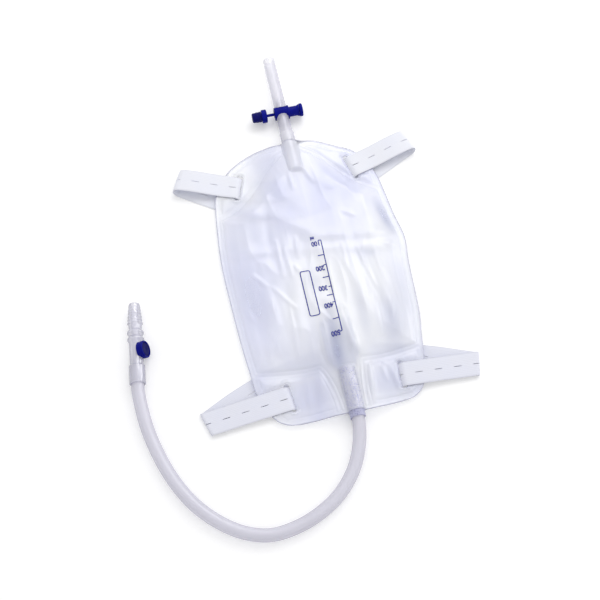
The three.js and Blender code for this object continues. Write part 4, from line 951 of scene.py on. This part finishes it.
LINE_TOP = np.array([4.6, 39.6])
LINE_END = np.array([3.3, -41.2])
TICKS = [0.0, 0.161, 0.269, 0.398, 0.505, 0.596, 0.682, 0.86, 1.0]
LONG_TICK, SHORT_TICK = 5.0, 2.2
PRINT_LIFT = FILM + 0.05
INK_THICKNESS = 0.04
STROKE = 0.8
FIGURE_SIZE, UNIT_SIZE = 5.8, 3.8
FIGURE_WEIGHT = 0.24
FIGURE_WIDTH = 0.8
UNIT_AT = (-6.5, 2.6)
PANEL = np.array([(-17.6, -23.4), (-9.8, 15.2)])
PANEL_CORNER = 1.6
# Figures: their place along the line, and how far they stand off it
FIGURES = [
    ("100", 0.0, (-4.6, -2.4)), ("200", 0.269, (-5.4, -2.2)), ("300", 0.505, (-6.6, -0.4)),
    ("400", 0.682, (-5.4, -1.8)), ("500", 1.0, (-5.0, -0.4)),
]


def stroke(a, b):
    """A ribbon from a to b."""
    count = max(2, int(np.linalg.norm(b - a) / STROKE))
    along = a + (b - a) * np.linspace(0, 1, count)[:, None]
    off = np.array([-(b - a)[1], (b - a)[0]]) / np.linalg.norm(b - a) * STROKE / 2
    return np.stack([along - off, along + off], 1).reshape(-1, 2), grid_faces(count, 2)


def writing_panel():
    """A rounded rectangle drawn as a closed ribbon: four quarter circles about the corners'
    centres, joined by straight stretches."""
    low, high = PANEL[0] + PANEL_CORNER, PANEL[1] - PANEL_CORNER
    centres = np.repeat([high, (low[0], high[1]), low, (high[0], low[1])], 8, axis=0)
    angle = (np.linspace(0, np.pi / 2, 8) + np.arange(4)[:, None] * np.pi / 2).ravel()
    ray = np.column_stack([np.cos(angle), np.sin(angle)])
    rings = [centres + ray * (PANEL_CORNER + side * STROKE / 2) for side in (-1, 1)]
    rings = [np.vstack([ring, ring[:1]]) for ring in rings]
    at = distances(rings[0])
    finer = np.union1d(at, np.linspace(0, at[-1], 100))
    points = np.stack([[np.interp(finer, at, values) for values in ring.T] for ring in rings])
    points = points.transpose(2, 0, 1)[:-1].reshape(-1, 2)
    return points, grid_faces(len(points) // 2, 2, wrap_rows=True)


def lettering(text, size, centre):
    """Plain figures, turned to be read with the inlet end up, as flat triangles."""
    curve = bpy.data.curves.new("figures", "FONT")
    curve.body = text
    curve.size = size
    curve.align_x = curve.align_y = "CENTER"
    curve.offset = FIGURE_WEIGHT
    carrier = add_object("figures", curve)
    mesh = bpy.data.meshes.new_from_object(carrier)
    flat = np.zeros(len(mesh.vertices) * 3)
    mesh.vertices.foreach_get("co", flat)
    faces = [list(polygon.vertices) for polygon in mesh.polygons]
    bpy.data.objects.remove(carrier)
    bpy.data.meshes.remove(mesh)
    return centre - flat.reshape(-1, 3)[:, :2] * (FIGURE_WIDTH, 1.0), faces


def printed_scale():
    """Line, ticks, figures and the writing panel as one thin piece of ink, laid on the front
    film's outer face."""
    line = LINE_END - LINE_TOP
    parts = [stroke(LINE_TOP, LINE_END)]
    for k, share in enumerate(TICKS):
        at = LINE_TOP + line * share
        parts.append(stroke(at, at - (LONG_TICK if k % 2 else SHORT_TICK, 0)))
    for figure, share, off in FIGURES:
        parts.append(lettering(figure, FIGURE_SIZE, LINE_TOP + line * share + off))
    parts.append(lettering("ml", UNIT_SIZE, LINE_TOP + UNIT_AT))
    parts.append(writing_panel())
    faces, start = [], 0
    for flat, cells in parts:
        faces += [[start + corner for corner in cell] for cell in cells]
        start += len(flat)
    flat = np.vstack([flat for flat, _ in parts])
    points = np.column_stack([flat, front_height(*flat.T) + PRINT_LIFT])
    piece = add_piece("scale_print", points, faces, (INK, None))
    piece.data.shade_flat()
    shell = bmesh.new()
    shell.from_mesh(piece.data)
    for face in shell.faces:
        if face.normal.z < 0:
            face.normal_flip()
    shell.to_mesh(piece.data)
    shell.free()
    thicken(piece, "ink", INK_THICKNESS)


printed_scale()

# Ports, tubes and drain tap

TAP = np.array([OUTLET_X, 164.0, PORT_Z])
TAP_BARREL_R = 5.4
SADDLE_TOP = 3.3
SADDLE_GAP = 0.05
INLET_PROFILE = pipe_profile(6.0, 5.3, INLET_PORT_START_Y, INLET_INNER_Y)
OUTLET_PROFILE = [
    (5.45, OUTLET_INNER_Y), (5.85, OUTLET_INNER_Y), (5.85, 142.0), (6.05, 142.6), (6.05, 143.4),
    (5.45, 143.4),
]
INLET_FOOT, OUTLET_FOOT = (0, 0, PORT_Z), (OUTLET_X, 0, PORT_Z)


def over_tap(profile, spoke):
    """A tube's near end follows the tap's barrel, and is cut square over its top."""
    along = profile[:, 1:]
    past = along - along.min()
    top = barrel_top(profile, spoke, ACROSS, TAP_BARREL_R + SADDLE_GAP)
    return np.where(past < 0.6, np.maximum(top, SADDLE_TOP) + past, along)


turned("inlet_port_tube", INLET_PROFILE, INLET_FOOT, UP_THE_BAG, STAMPED_PORT, "inlet_port")
turned("outlet_port_tube", OUTLET_PROFILE, OUTLET_FOOT, UP_THE_BAG, CLEAR_PORT, "outlet_port", 0.2)
for name, node, way, finish, pipe in (
    ("tap_link_sleeve", "tap_link_tube", -UP_THE_BAG, LINK_TUBE, (5.2, 3.7, 4.6, 36)),
    ("tap_inlet_stub", "tap_inlet_nipple", -UP_THE_BAG, CLEAR_RIGID, (3.0, 2.1, 4.9, 12.1)),
    ("tap_outlet_stub", "tap_outlet_nipple", UP_THE_BAG, CLEAR_RIGID, (3.0, 2.1, 4.9, 12.1)),
    ("drain_tube", "outlet_tube", UP_THE_BAG, CLEAR_TUBE, (4.9, 3.7, 4.6, 54.1)),
):
    turned(name, pipe_profile(*pipe), TAP, way, finish, node, radius=0.4, seat=over_tap)
for name, node, body, finish, radius, profile in (
    ("tap_barrel", "tap_housing", "bag", BLUE, 0.35, [
        (3.3, -6.15), (4.9, -6.15), (5.4, -5.7), (5.4, 4.6), (5.8, 4.85), (5.8, 6.15), (4.2, 6.15),
        (4.2, 12.6), (4.5, 13.6), (5.0, 14.3), (5.0, 14.45), (3.3, 14.45),
    ]),
    ("tap_slider", "tap_plunger", "plunger", BLUE, 0.3, [
        (0, -20.9), (2, -20.9), (2, -16.95), (5.2, -16.95), (5.6, -16.5), (5.6, -13.0), (5.2, -12.55),
        (1.2, -12.55), (1.2, -5.4), (3.0, -5.4), (3.0, 14.45), (1.8, 14.45), (1.8, 16.4), (0, 16.4),
    ]),
    ("tap_cap", "tap_knob", "plunger", NAVY, 0.35, [
        (0, -24.85), (3.4, -24.85), (4.1, -24.2), (4.1, -22.0), (4.35, -21.6), (4.35, -19.9), (4.15, -19.5),
        (4.45, -18.9), (4.45, -17.25), (2.3, -17.25), (2.3, -21.2), (0, -21.2),
    ]),
    ("tap_end_disc", "tap_end_button", "plunger", BLUE, 0.3, [
        (0, 16.75), (2.1, 16.75), (2.1, 14.75), (5.0, 14.75), (5.45, 15.5), (5.45, 17.2), (5.0, 17.65),
        (2.6, 17.65), (2.3, 17.2), (0, 17.2),
    ]),
):
    turned(name, profile, TAP, ACROSS, finish, node, radius, 96, body)

# Straps: buttonhole elastic, each a ring through two slots

SLIT_LENGTH = 6.0
SLIT_PITCH = 15.0
FIRST_SLIT = 5.0
SLIT_GAP = 0.2
SLIT_GAPE = 0.14
BUTTONHOLE_HALF = 1.6
BUTTONHOLE_GAPE = 1.55
BUTTONHOLE_BOW = 2.6
STRAIN_WIDTH = 3.0
SWAY, SWAY_LENGTH = 0.05, 31.0
SELVEDGE_POWER, SELVEDGE_THIN = 12, 0.12
PROBE = 0.05
SLOT_RUN = 2.3
INNER_RUN = 12.8
STRAP_OVERLAP = 24.0
BACK_RUN = 8.0
BUTTON_R = 5.5
STUD_PROFILE = [
    (0, 0), (5.1, 0), (BUTTON_R, 0.4), (5.3, 1.0), (1.25, 1.0), (1.25, 3.5), (5.3, 3.5), (BUTTON_R, 4.1),
    (5.0, 4.5), (0, 4.5),
]


def corner_surface(corner, a, w):
    """Strap about one slot: a runs out from the slot along the front layer, over the fold and
    back beneath; w is across, positive toward +Y. Past the fold line the strap follows a half
    circle of the loop's radius and then lies on the table."""
    out, side, loop = heading_of(corner), corner["side"], corner["loop"]
    across = np.array([-out[1], out[0]]) * side
    tilt = np.radians(corner["tilt"] * side)
    half = STRAP_T / 2
    front = EDGE_Z + GAP / 2 + FILM + GAP + half
    under = EDGE_Z - GAP / 2 - FILM - GAP - half
    inner = half + STRAP_T + GAP
    wrap = np.pi * loop
    past = (a - (corner["reach"] - loop - half)) * np.cos(tilt) + w * np.sin(tilt) * side
    flat = half + 2 * loop + (front - half - 2 * loop) * smooth(-past, 4, 0.75 * corner["reach"])
    z = np.where(a < SLOT_RUN, under + (front - under) * smooth(a, -SLOT_RUN, SLOT_RUN), flat)
    z = np.where(a < -SLOT_RUN, inner + (under - inner) * smooth(a, -INNER_RUN, -SLOT_RUN), z)
    bent = (past > 0) & (past < wrap)
    z = np.where(bent, half + loop + loop * np.cos(past / loop), z)
    z = np.where(past >= wrap, half, z)
    beyond = np.where(bent, loop * np.sin(past / loop), np.where(past >= wrap, wrap - past, past))
    shift = beyond - past
    along = a + shift * np.cos(tilt)
    w = w + shift * np.sin(tilt) * side
    return np.stack([corner[k] + along * out[i] + w * across[i] for i, k in enumerate("xy")] + [z], -1)


def corner_reach(corner):
    """How far the strap runs about a slot: inward behind the film and outward past the fold."""
    turn = corner["reach"] - corner["loop"] - STRAP_T / 2
    return -INNER_RUN, turn + np.pi * corner["loop"] + BACK_RUN


def level_curve(left, right, which, handle):
    """A cubic curve on the level between two corners, leaving each along the strap."""
    ends = []
    for corner in (left, right):
        end = corner_reach(corner)[which]
        at, before = (corner_surface(corner, a, 0.0)[:2] for a in (end, end - np.sign(end)))
        ends.append((at, at + unit(at - before) * handle))
    (p0, p1), (p3, p2) = ends
    t = np.linspace(0, 1, 400)[:, None]
    return p0 * (1 - t) ** 3 + 3 * p1 * t * (1 - t) ** 2 + 3 * p2 * t * t * (1 - t) + p3 * t**3


class StrapRing:
    """A strap's middle surface as one function of the distance along it and across it."""

    def __init__(self, left, right, outer_handle, inner_handle, inner_middle):
        self.corners = {"left": left, "right": right}
        self.inner_middle = inner_middle
        self.outer = level_curve(left, right, 1, outer_handle)
        self.inner = level_curve(left, right, 0, inner_handle)
        self.middle = self.outer[len(self.outer) // 2]
        outer_length, inner_length = steps(self.outer).sum(), steps(self.inner).sum()
        half = outer_length / 2 + STRAP_OVERLAP / 2
        left_in, left_out = corner_reach(left)
        self.spans, self.length = [], 0.0
        for kind, a, b in (
            ("lower", half, 0.0), ("left", left_out, left_in), ("inner", 0.0, inner_length),
            ("right", *corner_reach(right)), ("upper", outer_length, outer_length - half),
        ):
            self.spans.append((kind, a, b, self.length, self.length + abs(b - a)))
            self.length += abs(b - a)
        self.left_slot = self.spans[1][4] + left_in

    def run(self, kind, s, w):
        """The strap on the level between two corners, raised near the middle by the stud."""
        curve = self.inner if kind == "inner" else self.outer
        at = distances(curve)
        tangent = unit(np.gradient(curve, axis=0))
        x, y, tx, ty = (np.interp(s, at, values) for values in (*curve.T, *tangent.T))
        near = 1 - smooth(np.abs(x), BUTTON_R + 8, BUTTON_R + 24)
        half, layer = STRAP_T / 2, STRAP_T + GAP
        z = {
            "lower": half + (1 + GAP) * near,
            "upper": half + (1 + GAP + layer) * near,
            "inner": half + layer + (self.inner_middle - half - layer) * near,
        }[kind]
        return np.stack([x - ty * w, y + tx * w, z], -1)

    def surface(self, s, w):
        points = np.zeros(s.shape + (3,))
        for kind, a, b, start, end in self.spans:
            low = start if start > 0 else -np.inf
            high = end if end < self.length else np.inf
            mask = (s >= low) & (s < high)
            local = a + (s[mask] - start) * np.sign(b - a)
            if kind in self.corners:
                points[mask] = corner_surface(self.corners[kind], local, w[mask])
            else:
                points[mask] = self.run(kind, local, w[mask])
        return points


def strap_band(name, ring, finish):
    """The band as a closed solid: stations along the ring, lanes across it, rounded selvedges,
    and lens-shaped slits whose cells are left out. Both faces stand half the thickness off the
    middle surface, along its normal."""
    slits = np.arange((ring.left_slot - FIRST_SLIT) % SLIT_PITCH, ring.length - SLIT_LENGTH, SLIT_PITCH)
    slits = slits[np.minimum(slits, ring.length - slits) > STRAP_OVERLAP]
    edges = np.concatenate([slits - SLIT_LENGTH / 2, slits + SLIT_LENGTH / 2])
    stations = np.linspace(0, ring.length, int(ring.length))
    stations[np.abs(stations[:, None] - edges).argmin(0)] = edges
    from_button = np.minimum(stations, ring.length - stations) - STRAP_OVERLAP / 2
    button = np.abs(from_button) < BUTTONHOLE_HALF
    to_slit = np.abs(stations[:, None] - slits).min(1)
    lens = SLIT_GAP + SLIT_GAPE * np.sqrt(1 - np.clip(to_slit / (SLIT_LENGTH / 2), 0, 1) ** 2)
    hole = BUTTONHOLE_GAPE * np.sqrt(np.clip(1 - from_button**2 / BUTTONHOLE_BOW, 0, 1))
    lens = np.where(button, hole, lens)
    half_lanes = np.linspace(STRAP_WIDTH / 2, SLIT_GAP, 15)
    lanes = np.concatenate([-half_lanes, half_lanes[::-1]])
    open_by = np.maximum(lens - SLIT_GAP, 0)[:, None] * np.sign(lanes)
    across = lanes + open_by * np.clip(1 - (np.abs(lanes) - SLIT_GAP) / STRAIN_WIDTH, 0, 1)
    along = stations[:, None] * np.ones((1, len(lanes)))
    across = across + SWAY * np.sin(2 * np.pi * along / SWAY_LENGTH + 1.3)
    mid = ring.surface(along, across)
    normal = unit(np.cross(
        ring.surface(along + PROBE, across) - ring.surface(along - PROBE, across),
        ring.surface(along, across + PROBE) - ring.surface(along, across - PROBE),
    ))
    edge = np.clip(np.abs(across) / (STRAP_WIDTH / 2), 0, 1)
    half = (STRAP_T / 2) * np.sqrt(np.maximum(1 - edge**SELVEDGE_POWER, SELVEDGE_THIN))
    points = np.stack([mid + normal * side * half[..., None] for side in (-1, 1)])
    rows, columns = along.shape
    count = rows * columns
    inside = (to_slit[:-1] + to_slit[1:]) / 2 < SLIT_LENGTH / 2 - 1e-6
    inside |= button[:-1] & button[1:]
    filled = np.ones((rows - 1, columns - 1), bool)
    filled[inside, columns // 2 - 1] = False
    cells = grid_faces(rows, columns)[filled.ravel()]
    faces = [cells, cells[:, ::-1] + count]
    i, j = np.nonzero(filled)
    padded = np.pad(filled, 1)
    for di, dj, p, q in ((-1, 0, 0, 1), (1, 0, 2, 3), (0, -1, 3, 0), (0, 1, 1, 2)):
        rim = cells[~padded[i + 1 + di, j + 1 + dj]]
        p, q = rim[:, p], rim[:, q]
        faces.append(np.stack([q, p, p + count, q + count], 1))
    uv = np.stack([along, across], -1) * MM
    piece = add_piece(f"{name}_band", points, np.vstack(faces), finish, name, uv=np.stack([uv, uv]))
    return clean_shell(piece, 1e-9, 60)


rings = {
    "upper_strap": StrapRing(CORNERS["upper_left"], CORNERS["upper_right"], 89, 24, 3.9),
    "lower_strap": StrapRing(CORNERS["lower_left"], CORNERS["lower_right"], 83, 20, 0.4),
}
for (name, ring), finish in zip(rings.items(), (UPPER_ELASTIC, SHADED_LOWER_ELASTIC)):
    strap = strap_band(name, ring, finish)
for name, ring in rings.items():
    stud = f"{name}_button_stud", STUD_PROFILE, (*ring.middle, 0.0), (0, 0.0001, 1)
    turned(*stud, WHITE_PLASTIC, f"{name}_button", radius=0.25)

# CAD nodes that stay, in view or hidden inside the tap

for node, material in (
    ("valve_back_leaf", VALVE_LEAF), ("valve_front_leaf", VALVE_LEAF), ("tap_ring_inner", SEAL),
    ("tap_ring_outer", SEAL), ("tap_face_seal", SEAL),
):
    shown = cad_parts[node].data.materials
    shown.clear()
    shown.append(material)

# Table, world and lamps

TABLE_HALF = 3000.0
WORLD_LIGHT = 0.77


def make_table():
    points = np.array([(-1, -1, 0), (1, -1, 0), (1, 1, 0), (-1, 1, 0)]) * TABLE_HALF
    mesh = bpy.data.meshes.new("table")
    mesh.from_pydata(place(points).tolist(), [], [[0, 1, 2, 3]])
    mesh.materials.append(floor_finish())
    add_object("table", mesh)


def make_world():
    """Soft even light from all round, seen as white by the camera and in reflections."""
    world = bpy.data.worlds.new("studio")
    bpy.context.scene.world = world
    world.use_nodes = True
    tree = world.node_tree
    back = tree.nodes["Background"]
    back.inputs["Color"].default_value = (1.0, 1.0, 1.0, 1.0)
    level = add_node(tree, "ShaderNodeMapRange", {0: seen_rays(tree), 3: WORLD_LIGHT, 4: 1.0})
    put(tree, back, "Strength", level[0])


def make_lamp(name, at, size, power):
    """A flat lamp of white light that faces the bag's middle."""
    data = bpy.data.lights.new(name, "AREA")
    data.shape = "RECTANGLE"
    data.size, data.size_y = size
    data.energy = power
    at = place(at)
    back = unit(at - place((0, 0, 0)))
    side, up = axes_of(back)
    add_object(name, data, (side, -up, back), at)


make_table()
make_world()
make_lamp("softbox", (430, 790, 1070), (0.95, 0.66), 5.0)
make_lamp("side", (1700, 600, 850), (0.5, 1.2), 4.6)
bpy.context.scene.view_settings.view_transform = "Standard"
bpy.context.scene.cycles.transparent_max_bounces = 32
